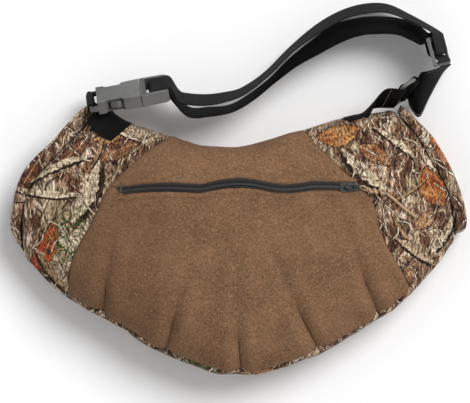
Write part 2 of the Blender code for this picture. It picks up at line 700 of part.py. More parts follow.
def build_tabs():
    buckle, ring = buckle_matrix(), ring_matrix()
    clear = WEB_THICK / 2 + GAP
    across = 5
    rows = [[skin(s, a, depth) for a in spaced(LEFT_TAB_TURN[0], LEFT_TAB_TURN[1], across)]
            for s, depth in LEFT_TAB_SEWN]
    rows += [widened(r, across) for r in standing(LEFT_TAB_FREE)]
    bar_x = SOCKET_END + 1.4
    rows.append(widened(local_row(buckle, bar_x + 3.0, -8), across))
    rows.append(widened(local_row(buckle, bar_x + 3.3, -3), across))
    rows = eased(rows, 3)
    for angle in spaced(0, 180, 7):
        x = bar_x + 3.3 * cos(radians(angle))
        rows.append(widened(local_row(buckle, x, 4.4 * sin(radians(angle))), across))
    rows += [widened(local_row(buckle, bar_x + x, z), across) for x, z in ((-3.3, -2.2), (-3.1, -3.8))]
    webbing("anchor_tab_left", rows)
    ring_side = RING_WIRE + clear
    rows = [[skin(s, a, depth) for a in spaced(RIGHT_TAB_TURN[0], RIGHT_TAB_TURN[1], across)]
            for s, depth in RIGHT_TAB_SEWN]
    rows += [widened(r, across) for r in standing(RIGHT_TAB_FREE)]
    rows.append(widened(local_row(ring, -1, -ring_side), across))
    rows = eased(rows, 3)
    rows += [widened(r, across) for r in bar_turn(ring, 0, ring_side, 300, 450, 6)]
    webbing("anchor_tab_right", rows)


# ------------------------------------------------------------------ main
def main():
    reset_scene()
    build_shell()
    build_zip()
    build_slider()
    build_cord()
    build_buckle()
    build_ring()
    build_glide()
    build_belt()
    build_tabs()


main()
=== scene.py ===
"""Looks of the hand warmer muff: fabric shell, hems, zip, cord, belt and materials.

Sizes are in millimetres in the row frame unless a name says otherwise: +X towards
the right cuff, +Y towards the belt, +Z out of the front.
"""
from math import cos, pi, radians, sin, sqrt

import bmesh
import bpy
import numpy as np
from mathutils import Matrix, Vector


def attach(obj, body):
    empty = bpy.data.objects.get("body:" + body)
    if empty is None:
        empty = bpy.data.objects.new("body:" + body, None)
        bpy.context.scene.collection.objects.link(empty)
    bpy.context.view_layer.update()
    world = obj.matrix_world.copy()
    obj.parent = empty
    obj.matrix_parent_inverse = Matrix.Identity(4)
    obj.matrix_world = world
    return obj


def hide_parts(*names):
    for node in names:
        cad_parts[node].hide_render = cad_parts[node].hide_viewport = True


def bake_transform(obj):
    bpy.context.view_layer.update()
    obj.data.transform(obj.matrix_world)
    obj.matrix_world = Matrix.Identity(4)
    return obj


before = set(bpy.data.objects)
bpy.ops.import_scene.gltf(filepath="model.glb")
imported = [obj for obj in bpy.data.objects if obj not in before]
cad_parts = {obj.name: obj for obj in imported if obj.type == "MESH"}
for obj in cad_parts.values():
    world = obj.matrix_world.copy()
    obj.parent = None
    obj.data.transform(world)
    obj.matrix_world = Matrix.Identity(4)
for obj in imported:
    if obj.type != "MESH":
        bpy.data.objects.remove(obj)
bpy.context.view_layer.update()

MM = 0.001
SCENE = bpy.context.scene


# ---- shader helper
def tone(red, green, blue):
    """Linear colour from 0..255 display values."""
    def linear(value):
        value /= 255
        return value / 12.92 if value <= 0.04045 else ((value + 0.055) / 1.055) ** 2.4
    return linear(red), linear(green), linear(blue), 1.0


class Net:
    """Wires the nodes of one material. Positions are in millimetres on the object."""

    def __init__(self, name, roughness, metallic=0.0, sheen=0.0, uv=False, specular=0.5):
        self.material = bpy.data.materials.new(name)
        self.material.use_nodes = True
        self.tree = self.material.node_tree
        self.shader = self.tree.nodes["Principled BSDF"]
        for socket, value in (("Roughness", roughness), ("Metallic", metallic), ("Sheen Weight", sheen),
                              ("Sheen Roughness", 0.5), ("Specular IOR Level", specular)):
            self.shader.inputs[socket].default_value = value
        self.co = self.vector("SCALE", self.node("TexCoord", {}, "UV" if uv else "Object"), scale=1000.0)

    def put(self, socket, value):
        if isinstance(value, bpy.types.NodeSocket):
            self.tree.links.new(value, socket)
        else:
            socket.default_value = value

    def node(self, kind, inputs, output=0, **settings):
        """An output of a new node with these inputs and settings."""
        made = self.tree.nodes.new("ShaderNode" + kind)
        for name, value in settings.items():
            setattr(made, name, value)
        for name, value in inputs.items():
            self.put(made.inputs[name], value)
        return made.outputs[output]

    def number(self, operation, a, b=0.0):
        return self.node("Math", {0: a, 1: b}, operation=operation)

    def times(self, a, b):
        return self.number("MULTIPLY", a, b)

    def plus(self, a, b):
        return self.number("ADD", a, b)

    def minus(self, a, b):
        return self.number("SUBTRACT", a, b)

    def size(self, value):
        return self.number("ABSOLUTE", value)

    def wave(self, value, pace):
        """Ridges from 0 to 1 that follow each other every pi / pace."""
        return self.size(self.number("SINE", self.times(value, pace)))

    def vector(self, operation, a, b=(0.0, 0.0, 0.0), scale=1.0):
        inputs = {0: a, "Scale": scale} if operation == "SCALE" else {0: a, 1: b}
        output = "Value" if operation == "DISTANCE" else "Vector"
        return self.node("VectorMath", inputs, output, operation=operation)

    def parts(self, value):
        return self.node("SeparateXYZ", {0: value}, slice(0, 3))

    def mapped(self, angle=0.0, scale=(1.0, 1.0, 1.0), shift=(0.0, 0.0, 0.0), source=None):
        return self.node("Mapping", {"Rotation": (0, 0, radians(angle)), "Scale": scale, "Location": shift,
                                     "Vector": source or self.co})

    def noise(self, scale, detail=3.0, rough=0.5, source=None, output="Fac"):
        return self.node("TexNoise", {"Scale": scale, "Detail": detail, "Roughness": rough,
                                      "Vector": source or self.co}, output)

    def cell_edges(self, scale, source):
        """Distance to the nearest edge between cells."""
        return self.node("TexVoronoi", {"Scale": scale, "Vector": source}, "Distance",
                         feature="DISTANCE_TO_EDGE")

    def pointiness(self):
        return self.node("NewGeometry", {}, "Pointiness")

    def ramp(self, value, *stops):
        """Colours along a value; each stop is (place, colour)."""
        node = self.tree.nodes.new("ShaderNodeValToRGB")
        elements = node.color_ramp.elements
        while len(elements) < len(stops):
            elements.new(0.5)
        for element, stop in zip(elements, stops):
            element.position = stop[0]
        for element, stop in zip(elements, stops):
            element.color = stop[1]
        self.put(node.inputs[0], value)
        return node.outputs[0]

    def step(self, value, low, high):
        """0 below low, 1 above high, smooth in between; low may be the greater."""
        start, end = (0.0, 1.0) if low < high else (1.0, 0.0)
        return self.node("MapRange", {"Value": value, "From Min": min(low, high), "From Max": max(low, high),
                                      "To Min": start, "To Max": end}, interpolation_type="SMOOTHSTEP")

    def mix(self, factor, a, b, blend="MIX"):
        return self.node("Mix", {0: factor, 6: a, 7: b}, 2, data_type="RGBA", blend_type=blend)

    def bump(self, *layers):
        """Bumps on each other, each (height, depth in millimetres)."""
        below = {}
        for height, depth in layers:
            below = {"Normal": self.node("Bump", {"Height": height, "Distance": depth * MM, "Strength": 1.0,
                                                  **below})}
        self.put(self.shader.inputs["Normal"], below["Normal"])

    def colour(self, value):
        self.put(self.shader.inputs["Base Color"], value)

    def rough(self, value, places, levels):
        """Roughness that goes from one level to the other between two places of a value."""
        stops = [(place, (level,) * 3 + (1,)) for place, level in zip(places, levels)]
        self.put(self.shader.inputs["Roughness"], self.ramp(value, *stops))


# ---- materials
def brown_fleece():
    net = Net("soft_brown_fleece", 0.95, sheen=0.03, specular=0.15)
    cloud = net.noise(0.03, 4, 0.6)
    grain = net.noise(0.48, 3, 0.7)
    fibre = net.noise(2.6, 2, 0.6)
    base = net.ramp(cloud, (0.32, tone(100, 72, 50)), (0.68, tone(130, 97, 70)))
    flecks = net.mix(net.times(net.step(grain, 0.50, 0.72), 0.8), base, tone(164, 126, 94))
    flecks = net.mix(net.times(net.step(grain, 0.50, 0.28), 0.8), flecks, tone(66, 45, 31))
    # Painted shade: the fleece darkens towards its left end, standing in for the side that turns away from
    # the light.
    painted_shade_and_wear = net.step(net.parts(net.co)[0], -20, -165)
    flecks = net.mix(net.times(painted_shade_and_wear, 0.42), flecks, tone(66, 47, 34))
    net.colour(net.mix(0.22, flecks, net.ramp(fibre, (0.3, tone(50, 34, 24)), (0.7, tone(176, 138, 106)))))
    net.bump((grain, 0.3), (fibre, 0.15))
    return net.material


def shaken(net, warp, reach):
    """The object's places, moved about by a coloured noise."""
    off = net.vector("SUBTRACT", warp, (0.5, 0.5, 0.5))
    return net.vector("ADD", net.co, net.vector("SCALE", off, scale=reach))


def placed(net, angle, shift, scale=(1, 1, 1), source=None):
    return net.mapped(angle, scale, (*shift, 0), source)


def bark_print(net, bent):
    """Streaked bark with dark and pale patches."""
    bark = net.noise(0.17, 9, 0.74, net.mapped(32, (1.0, 0.20, 0.5), source=bent))
    colour = net.ramp(bark, (0.34, tone(44, 26, 18)), (0.43, tone(98, 64, 46)), (0.50, tone(152, 116, 90)),
                      (0.54, tone(206, 176, 148)), (0.60, tone(252, 238, 218)))
    patch = net.noise(0.028, 2, 0.5, placed(net, -30, (31, 7)))
    dark = net.ramp(bark, (0.36, tone(36, 22, 16)), (0.5, tone(92, 58, 42)), (0.64, tone(140, 98, 72)))
    colour = net.mix(net.times(net.step(patch, 0.50, 0.60), 0.72), colour, dark)
    pale = net.noise(0.024, 2, 0.5, placed(net, 70, (-90, 40)))
    light = net.ramp(bark, (0.35, tone(120, 96, 72)), (0.5, tone(202, 180, 148)), (0.62, tone(243, 230, 206)))
    return net.mix(net.times(net.step(pale, 0.55, 0.62), 0.8), colour, light)


def cracks_and_strands(net, colour, bent):
    """Dark cracks in the bark, and pale root strands with a dark edge."""
    cracks = net.cell_edges(0.075, net.mapped(35, (1.0, 0.42, 0.6), source=bent))
    colour = net.mix(net.times(net.step(cracks, 0.035, 0.012), 0.85), colour, tone(38, 22, 15))
    strands = net.cell_edges(0.034, placed(net, -25, (17, 5), (1.0, 0.6, 0.6), bent))
    some = net.step(net.noise(0.05, 2, 0.5, placed(net, 10, (5, 60))), 0.47, 0.56)
    rim = net.step(net.size(net.minus(strands, 0.040)), 0.022, 0.004)
    colour = net.mix(net.times(rim, net.times(some, 0.7)), colour, tone(36, 22, 15))
    core = net.step(strands, 0.026, 0.014)
    return net.mix(net.times(core, net.times(some, 0.85)), colour, tone(232, 214, 188))


def needles(net, colour, warp, centre, reach):
    """A spray of pine needles in three directions."""
    near = net.step(net.vector("DISTANCE", net.co, (*centre, 60.0)), reach, reach * 0.55)
    for angle, shift in ((20, 0), (68, 9), (-38, 23)):
        lines = net.parts(placed(net, angle, (shift, 0), source=shaken(net, warp, 22.0)))[1]
        wave = net.wave(lines, 0.62)
        broken = net.step(net.noise(0.11, 1, 0.5, placed(net, angle, (shift, 40), (0.5, 1, 1))), 0.43, 0.48)
        mask = net.times(net.times(net.step(wave, 0.34, 0.18), broken), near)
        colour = net.mix(mask, colour, tone(52, 98, 34))
    return colour


def grass(net, colour, bent):
    """Long pale blades with dark edges, in three directions."""
    for angle, shift in ((-58, 11), (38, 47), (80, 83)):
        wave = net.wave(net.parts(placed(net, angle, (shift, 0), source=bent))[1], 0.19)
        broken = net.step(net.noise(0.05, 2, 0.5, placed(net, angle, (shift, 90), (0.35, 1, 1))), 0.52, 0.57)
        colour = net.mix(net.times(net.step(wave, 0.24, 0.14), broken), colour, tone(34, 20, 14))
        colour = net.mix(net.times(net.step(wave, 0.12, 0.05), broken), colour, tone(246, 232, 208))
    return colour


def camouflage():
    """Woodland print: bark, cracks, twigs, leaves and pine needles, all made up here."""
    net = Net("woodland_camouflage", 0.88, sheen=0.06, specular=0.2)
    warp = net.noise(0.03, 2, 0.5, output="Color")
    bent = shaken(net, warp, 20.0)
    colour = cracks_and_strands(net, bark_print(net, bent), bent)
    for spot in LEAVES:
        colour = leaf(net, colour, *spot)
    for spot in TWIGS:
        colour = twig(net, colour, *spot)
    for centre, reach in NEEDLES:
        colour = needles(net, colour, warp, centre, reach)
    colour = grass(net, colour, bent)
    speck = net.noise(0.9, 4, 0.75)
    colour = net.mix(net.step(speck, 0.60, 0.70), colour, tone(216, 190, 162))
    colour = net.mix(net.step(speck, 0.42, 0.33), colour, tone(58, 36, 26))
    grain = net.noise(0.55, 5, 0.75, net.mapped(28, (1.0, 0.35, 0.5), source=bent))
    shade = net.ramp(grain, (0.40, (0.10, 0.08, 0.07, 1)), (0.49, (0.60, 0.55, 0.50, 1)),
                     (0.56, (1.0, 0.98, 0.95, 1)))
    net.colour(net.mix(1.0, colour, shade, "MULTIPLY"))
    weave = net.noise(2.6, 2, 0.6)
    net.bump((net.noise(0.5, 2, 0.5), 0.2), (weave, 0.15))
    return net.material


def motif(net, x, y, angle, length, width, bend):
    """Coordinates along and off a bent line through a place on the muff, and its half width there."""
    moved = net.mapped(0, source=net.vector("SUBTRACT", net.co, (x, y, 0.0)))
    turned = net.node("VectorRotate", {"Angle": radians(-angle), "Vector": moved}, rotation_type="Z_AXIS")
    along, off, _ = net.parts(turned)
    off = net.minus(off, net.times(net.times(along, along), bend))
    share = net.number("DIVIDE", along, length / 2)
    return along, off, net.times(net.minus(1.0, net.times(share, share)), width / 2)


def leaf(net, colour, x, y, angle, length, width, bend, dark, light):
    along, off, room = motif(net, x, y, angle, length, width, bend)
    side = net.size(off)
    ragged = net.times(net.minus(net.noise(0.35, 3, 0.6), 0.5), width * 0.35)
    inner = net.plus(net.minus(room, side), ragged)
    flesh = net.ramp(net.noise(0.12, 5, 0.65, net.mapped(angle, (0.4, 1, 1))), (0.36, dark), (0.62, light))
    ribs = net.number("SINE", net.times(net.minus(along, net.times(side, 1.1)), 1.5))
    flesh = net.mix(net.times(net.step(ribs, 0.72, 0.96), 0.5), flesh, tone(72, 36, 22))
    flesh = net.mix(net.times(net.step(side, 0.8, 0.2), 0.7), flesh, tone(222, 176, 128))
    colour = net.mix(net.step(inner, -0.2, 0.5), colour, flesh)
    return net.mix(net.times(net.step(net.size(inner), 1.4, 0.2), 0.8), colour, tone(52, 28, 18))


def twig(net, colour, x, y, angle, length, width, bend, fill):
    _, off, room = motif(net, x, y, angle, length, width, bend)
    ragged = net.times(net.minus(net.noise(0.22, 3, 0.6), 0.5), width * 0.6)
    inner = net.plus(net.minus(room, net.size(off)), ragged)
    shade = net.plus(net.minus(room, net.size(net.plus(off, width * 0.35))), ragged)
    streak = net.noise(0.3, 4, 0.7, net.mapped(angle, (0.2, 1, 1)))
    colour = net.mix(net.step(shade, 0.0, 0.4), colour, tone(44, 27, 18))
    wood = net.ramp(streak, (0.35, tone(150, 122, 92)), (0.55, fill))
    return net.mix(net.step(inner, 0.0, 0.4), colour, wood)


CREAM = tone(240, 226, 200)
TAN = tone(196, 160, 120)
# x, y, angle, length, width, bend, dark, light
LEAVES = (
    (-192, -12, 62, 66, 20, 0.006, tone(150, 58, 30), tone(206, 104, 58)),
    (-120, 88, 25, 44, 18, -0.008, tone(104, 64, 44), tone(172, 128, 96)),
    (-166, 84, 40, 52, 14, 0.004, tone(92, 54, 40), tone(150, 106, 80)),
    (-130, 100, 12, 34, 12, 0.006, tone(150, 92, 52), tone(222, 176, 124)),
    (-207, 66, 58, 50, 14, 0.0, tone(84, 46, 34), tone(140, 88, 64)),
    (100, 102, 12, 46, 22, 0.006, tone(172, 104, 52), tone(224, 172, 110)),
    (136, 84, -30, 40, 18, -0.006, tone(138, 84, 54), tone(206, 158, 112)),
    (192, 50, -64, 44, 26, 0.008, tone(168, 88, 46), tone(222, 158, 96)),
    (206, 84, -52, 50, 15, 0.0, tone(150, 66, 38), tone(212, 136, 86)),
    (186, 18, 40, 30, 14, 0.0, tone(150, 104, 78), tone(212, 168, 130)),
    (20, -133, 4, 40, 9, 0.0, tone(160, 86, 48), tone(214, 150, 94)),
    (-60, -112, -24, 44, 9, 0.0, tone(120, 92, 48), tone(196, 172, 110)),
    (168, -38, 60, 34, 14, 0.0, tone(140, 92, 66), tone(196, 160, 126)),
)
# x, y, angle, length, width, bend, colour
TWIGS = (
    (-176, 74, 22, 74, 7, -0.004, CREAM),
    (-193, 44, -6, 92, 7, 0.003, CREAM),
    (-150, 44, 66, 70, 16, 0.003, CREAM),
    (-158, -2, 62, 44, 20, 0.0, CREAM),
    (-122, 108, -36, 52, 4, 0.008, CREAM),
    (-140, 84, 68, 46, 4, 0.006, TAN),
    (-186, -34, -52, 60, 8, 0.002, TAN),
    (124, 66, -42, 66, 12, 0.003, CREAM),
    (158, 96, -38, 60, 7, -0.004, CREAM),
    (168, 44, 30, 58, 3, 0.006, TAN),
    (178, -14, -34, 56, 8, 0.0, tone(224, 200, 172)),
    (206, 4, 62, 48, 8, 0.004, CREAM),
    (160, 10, -58, 50, 4, 0.008, TAN),
)
NEEDLES = (((-160.0, 0.0), 40.0), ((-40.0, -128.0), 26.0))


def grained(net, grain, places, dark, light, depth, *finer):
    """Gives a material two tones and a relief that follow one noise."""
    net.colour(net.ramp(grain, (places[0], dark), (places[1], light)))
    net.bump((grain, depth), *finer)
    return net.material


def lining_fleece():
    net = Net("dark_lining_fleece", 0.95, sheen=0.3)
    curls = net.noise(0.9, 4, 0.65)
    return grained(net, curls, (0.32, 0.7), tone(24, 22, 21), tone(62, 57, 53), 0.7, (net.noise(3.0, 2), 0.2))


def yarn(name, dark, light, pitch=0.9):
    """Twisted or braided yarn."""
    net = Net(name, 0.85, sheen=0.1)
    strand = net.noise(pitch, 3, 0.6, net.mapped(38, (2.6, 0.5, 1)))
    return grained(net, strand, (0.34, 0.62), dark, light, 0.3)


def moulded(name, dark, light, smooth):
    net = Net(name, smooth)
    return grained(net, net.noise(1.8, 3, 0.6), (0.35, 0.65), dark, light, 0.05)


def wadding():
    net = Net("polyester_wadding", 0.95, sheen=0.2)
    return grained(net, net.noise(0.7, 5, 0.7), (0.3, 0.7), tone(188, 186, 180), tone(236, 235, 230), 0.8)


RIB_PITCH = 2.1
PICK_PITCH = 2.0


def webbing_material():
    """Black webbing: ribs of yarn along it, crossed by staggered picks."""
    net = Net("ribbed_webbing", 0.8, uv=True, specular=0.12)
    along, across, _ = net.parts(net.co)
    rib = net.wave(across, pi / RIB_PITCH)
    row = net.number("FLOOR", net.number("DIVIDE", across, RIB_PITCH))
    pick = net.wave(net.plus(along, net.number("MODULO", row, 2.0)), pi / PICK_PITCH)
    knot = net.times(rib, net.plus(net.times(pick, 0.7), 0.3))
    wear = net.noise(0.06, 3, 0.6)
    fuzz = net.noise(1.4, 3, 0.7)
    base = net.ramp(knot, (0.1, tone(3, 3, 3)), (0.85, tone(17, 17, 17)))
    base = net.mix(net.times(wear, 0.3), base, tone(19, 18, 18))
    net.colour(net.mix(net.step(fuzz, 0.62, 0.8), base, tone(34, 33, 32)))
    net.rough(fuzz, (0.3, 0.7), (0.6, 0.85))
    net.bump((knot, 0.45), (fuzz, 0.1))
    return net.material


def plastic():
    """Moulded grey acetal with a fine spark texture, paler rubbed edges and painted shade in its hollows."""
    net = Net("moulded_grey_plastic", 0.48, specular=0.35)
    spark = net.noise(2.4, 3, 0.6)
    painted_shade_and_wear = net.noise(0.09, 4, 0.6)
    edge = net.pointiness()
    base = net.ramp(painted_shade_and_wear, (0.3, tone(44, 44, 43)), (0.7, tone(57, 56, 55)))
    base = net.mix(net.times(net.step(edge, 0.53, 0.64), 0.5), base, tone(130, 129, 127))
    # Painted shade: darker where the surface turns inward, in hollows and inside corners.
    base = net.mix(net.step(edge, 0.46, 0.38), base, tone(34, 34, 34))
    net.colour(net.mix(net.times(spark, 0.08), base, tone(140, 139, 137)))
    net.rough(painted_shade_and_wear, (0.3, 0.7), (0.42, 0.6))
    net.bump((spark, 0.05))
    return net.material


def metal(name, dark, light, smooth, metallic, rubbed):
    net = Net(name, smooth, metallic)
    scratch = net.noise(0.8, 5, 0.7, net.mapped(20, (1, 0.08, 1)))
    edge = net.pointiness()
    base = net.ramp(scratch, (0.3, dark), (0.7, light))
    net.colour(net.mix(net.times(net.step(edge, 0.54, 0.66), 0.7), base, rubbed))
    net.rough(scratch, (0.3, 0.75), (smooth, smooth + 0.2))
    net.bump((scratch, 0.02))
    return net.material


def tape_material():
    net = Net("zip_tape_weave", 0.85, uv=True, sheen=0.05)
    along, across, _ = net.parts(net.co)
    ribs = net.wave(net.plus(along, across), 2.6)
    net.colour(net.ramp(ribs, (0.1, tone(14, 14, 15)), (0.9, tone(44, 43, 43))))
    net.bump((ribs, 0.15))
    return net.material


# ---- mesh helpers
def in_scene(name, data):
    made = bpy.data.objects.new(name, data)
    SCENE.collection.objects.link(made)
    return made


def mesh_piece(name, vertices, faces, surface, uv=None, sharp=40.0):
    """A smooth piece from points in millimetres; uv has a place in metres for each point."""
    mesh = bpy.data.meshes.new(name)
    mesh.from_pydata(np.asarray(vertices, dtype=float) * MM, [], faces)
    if uv is not None:
        layer = mesh.uv_layers.new(name="UVMap")
        index = np.zeros(len(mesh.loops), dtype=np.int32)
        mesh.loops.foreach_get("vertex_index", index)
        layer.data.foreach_set("uv", np.asarray(uv, dtype=float)[index].ravel())
    work = bmesh.new()
    work.from_mesh(mesh)
    bmesh.ops.recalc_face_normals(work, faces=work.faces)
    work.to_mesh(mesh)
    work.free()
    mesh.shade_smooth()
    if sharp:
        mesh.set_sharp_from_angle(angle=radians(sharp))
    mesh.materials.append(surface)
    return in_scene(name, mesh)


def grid_faces(rows, columns, closed=False):
    """Quads between the points of a grid; closed joins the last column to the first."""
    faces = []
    for i in range(rows - 1):
        for k in range(columns if closed else columns - 1):
            n = (k + 1) % columns
            faces.append((i * columns + k, (i + 1) * columns + k, (i + 1) * columns + n, i * columns + n))
    return faces


def tube_faces(rings, sides, first=0):
    """Faces of a tube with closed ends, for rings of points from index first on."""
    last = first + (rings - 1) * sides
    around = [tuple(first + corner for corner in face) for face in grid_faces(rings, sides, closed=True)]
    return [tuple(range(first, first + sides)), tuple(range(last, last + sides))] + around


def add_wall(made, thickness, offset):
    wall = made.modifiers.new("wall", "SOLIDIFY")
    wall.thickness = thickness * MM
    wall.offset = offset


def of_muff(made, slot_name, *nodes):
    """A piece that rides on the muff, with the CAD nodes that it replaces."""
    if nodes:
        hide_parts(*nodes)
    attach(made, "muff")


def hermite(knots, values, places):
    """Smooth values (an array for each knot) at an array of places."""
    knots = np.asarray(knots, dtype=float)
    values = np.asarray(values, dtype=float)
    slopes = np.empty_like(values)
    wide = (knots[2:] - knots[:-2]).reshape((-1,) + (1,) * (values.ndim - 1))
    slopes[1:-1] = (values[2:] - values[:-2]) / wide
    slopes[0] = (values[1] - values[0]) / (knots[1] - knots[0])
    slopes[-1] = (values[-1] - values[-2]) / (knots[-1] - knots[-2])
    places = np.clip(np.asarray(places, dtype=float), knots[0], knots[-1])
    i = np.clip(np.searchsorted(knots, places, side="right") - 1, 0, len(knots) - 2)
    span = (knots[i + 1] - knots[i]).reshape((-1,) + (1,) * (values.ndim - 1))
    u = ((places - knots[i]) / (knots[i + 1] - knots[i])).reshape(span.shape)
    return (values[i] * (2 * u ** 3 - 3 * u ** 2 + 1) + slopes[i] * span * (u ** 3 - 2 * u ** 2 + u)
            + values[i + 1] * (3 * u ** 2 - 2 * u ** 3) + slopes[i + 1] * span * (u ** 3 - u ** 2))


def distances(points):
    """How far each point lies along the path through them."""
    return np.concatenate([[0], np.cumsum(np.linalg.norm(np.diff(points, axis=0), axis=1))])


def at_places(places, run, values):
    """Values at places of a path, from those at its points' distances."""
    return np.stack([np.interp(places, run, column) for column in np.transpose(values)], axis=1)


def even(points, count):
    """Points spaced evenly along a smooth curve through the given ones."""
    points = np.asarray(points, dtype=float)
    fine = hermite(range(len(points)), points, np.linspace(0, len(points) - 1, 12 * len(points)))
    run = distances(fine)
    return at_places(np.linspace(0, run[-1], count), run, fine)


def bell(value, width, centre=0.0):
    """1 where the value is at the centre, and near 0 beyond two widths from it."""
    return np.exp(-((value - centre) / width) ** 2)


def smoothstep(low, high, value):
    share = np.clip((value - low) / (high - low), 0, 1)
    return share * share * (3 - 2 * share)


def ripple(x, y, size, seed, count=9):
    """Soft random waves of about that size, between about -1 and 1."""
    source = np.random.default_rng(seed)
    total = np.zeros_like(x)
    for _ in range(count):
        turn, phase = source.uniform(0, 2 * pi, 2)
        pitch = 2 * pi / (size * source.uniform(0.7, 1.5))
        total += np.sin((x * cos(turn) + y * sin(turn)) * pitch + phase)
    return total / sqrt(count)


# ---- muff surface
# cross lines from the belt edge to the lap edge, by station along the muff
CROSS_LINES = (
    (0.0, ((-149, 135), (-163, 123), (-175, 110), (-187, 96), (-199, 85), (-211, 72), (-219, 58),
           (-225, 38), (-228, 14), (-226, 2), (-221, -4))),
    (0.052, ((-140, 128), (-156, 110), (-175, 90), (-199, 65), (-212, 43), (-218, 14), (-217, -5),
             (-214, -15))),
    (0.135, ((-108, 113), (-128, 96), (-152, 72), (-172, 43), (-184, 12), (-190, -18), (-192, -40))),
    (0.22, ((-69, 101), (-89, 88), (-107, 72), (-120, 60), (-132, 45), (-141, 26), (-155, -1),
            (-164, -19), (-169, -42), (-169, -60))),
    (0.28, ((-54, 96), (-84, 62), (-108, 20), (-126, -18), (-132, -40), (-135, -78))),
    (0.37, ((-34, 90.5), (-48, 30), (-58, -30), (-61, -63), (-73, -115))),
    (0.5, ((0, 89.5), (1, 0), (-1, -89), (3, -136))),
    (0.63, ((33, 97.5), (42, 40), (48, -20), (53, -60), (80, -114))),
    (0.72, ((54, 104), (84, 50), (106, 5), (118, -25), (140, -79))),
    (0.78, ((66, 107), (78, 92), (92, 78), (104, 66), (117, 55), (127, 44), (135, 30), (139, 11),
            (145, -2), (152, -17), (162, -34), (172, -54))),
    (0.865, ((106, 119), (136, 98), (160, 70), (176, 40), (186, 12), (194, -10), (199, -24))),
    (0.948, ((157, 127), (179, 101), (191, 80), (206, 54), (212, 38), (215, 20), (216, 8), (216, 2))),
    (1.0, ((163, 134), (182, 114), (194, 101), (209, 76), (219, 54), (226, 32), (228, 15), (225, 7),
           (219, 5))),
)
EQUATOR_STATIONS = (0.0, 0.06, 0.22, 0.36, 0.5, 0.64, 0.78, 0.94, 1.0)
EQUATOR = (30, 31, 36, 40, 42, 40, 36, 31, 30)
POWER = 2.6
FLATTENING = 1.12
TYPICAL_SECTION = (115, 45)    # half width, half height
FRONT_RADIUS = 780.0
ZIP_Y = 50.5
ZIP_HEIGHT = 86.0
CUFF_S = 0.052
SEAM_S = (0.22, 0.78)
LAP_SEAM_ANGLE = 17.0
SHELL_WALL = 1.5
FLOOR_CLEARANCE = 0.15
LINING_DEPTH = (13.8, 15.4)
SAMPLES = 129
TRACKS = np.array([even(line, SAMPLES) for _, line in CROSS_LINES])
LINE_STATIONS = [station for station, _ in CROSS_LINES]


def front_arc(x):
    return ZIP_HEIGHT - FRONT_RADIUS + np.sqrt(FRONT_RADIUS ** 2 - np.asarray(x, dtype=float) ** 2)


def section(angles):
    """Places across and up a section of the muff at angles in degrees, each from -1 to 1."""
    turn = np.radians(angles)
    return [np.sign(share) * np.abs(share) ** (2 / POWER) for share in (np.cos(turn), np.sin(turn))]


def skin(stations, angles, depth=0.0):
    """Points of the muff on a grid of stations by angles: 0 lap edge, 90 front, 180 belt edge.

    stations may be a list, or a grid with a station for each angle; depth too.
    """
    stations = np.asarray(stations, dtype=float)
    angles = np.asarray(angles, dtype=float)
    flat = stations.ndim == 1
    grid = np.repeat(stations[:, None], len(angles), 1) if flat else stations
    depth = np.broadcast_to(depth, grid.shape).astype(float)
    across, up = section(angles[None, :])
    places = grid.ravel()
    lines = hermite(LINE_STATIONS, TRACKS, places)
    length = np.linalg.norm(lines[:, -1] - lines[:, 0], axis=1).reshape(grid.shape)
    across = across * (1 - 2 * depth / length)
    share = ((1 + across) / 2 * (SAMPLES - 1)).ravel()
    low = np.clip(share.astype(int), 0, SAMPLES - 2)
    part = (share - low)[:, None]
    pick = np.arange(len(places))
    plan = lines[pick, low] * (1 - part) + lines[pick, low + 1] * part
    middle = hermite(EQUATOR_STATIONS, EQUATOR, places)
    below = np.argmax(lines[:, :, 1] <= ZIP_Y, axis=1)
    upper, lower = lines[pick, below - 1], lines[pick, below]
    mixed = ((upper[:, 1] - ZIP_Y) / (upper[:, 1] - lower[:, 1]))[:, None]
    crossing = upper * (1 - mixed) + lower * mixed
    off = np.abs(2 * (below - 1 + mixed[:, 0]) / (SAMPLES - 1) - 1)
    rise = (front_arc(crossing[:, 0]) - middle) / (1 - off ** POWER) ** (1 / POWER)
    up = np.broadcast_to(up, grid.shape).ravel()
    depth = depth.ravel()
    front = middle + (rise - depth) * up
    back = np.maximum(depth, middle + (middle * FLATTENING - depth) * up)
    height = np.where(up > 0, front, back)
    return np.concatenate([plan, height[:, None]], axis=1).reshape(grid.shape + (3,))


def even_angles(low, high, count):
    """Angles that space a typical section's points evenly."""
    fine = np.linspace(low, high, 4000)
    run = distances(np.transpose(section(fine)) * TYPICAL_SECTION)
    return np.interp(np.linspace(0, run[-1], count), run, fine)


def edge_run(points, axis):
    """Distance of each grid point from the first and the last row along an axis."""
    steps = np.linalg.norm(np.diff(points, axis=axis), axis=2)
    run = np.cumsum(steps, axis=axis)
    zero = np.zeros_like(run[:1] if axis == 0 else run[:, :1])
    first = np.concatenate([zero, run], axis=axis)
    whole = first[-1:] if axis == 0 else first[:, -1:]
    return first, whole - first


def grid_normals(points):
    along = np.gradient(points, axis=0)
    around = np.gradient(points, axis=1)
    normal = np.cross(along, around)
    return normal / np.maximum(np.linalg.norm(normal, axis=2, keepdims=True), 1e-9)


STITCH_RINGS = ((0.35, -0.6), (0.85, -0.1), (1.0, 0.2), (0.85, -0.1), (0.35, -0.6))    # size, rise


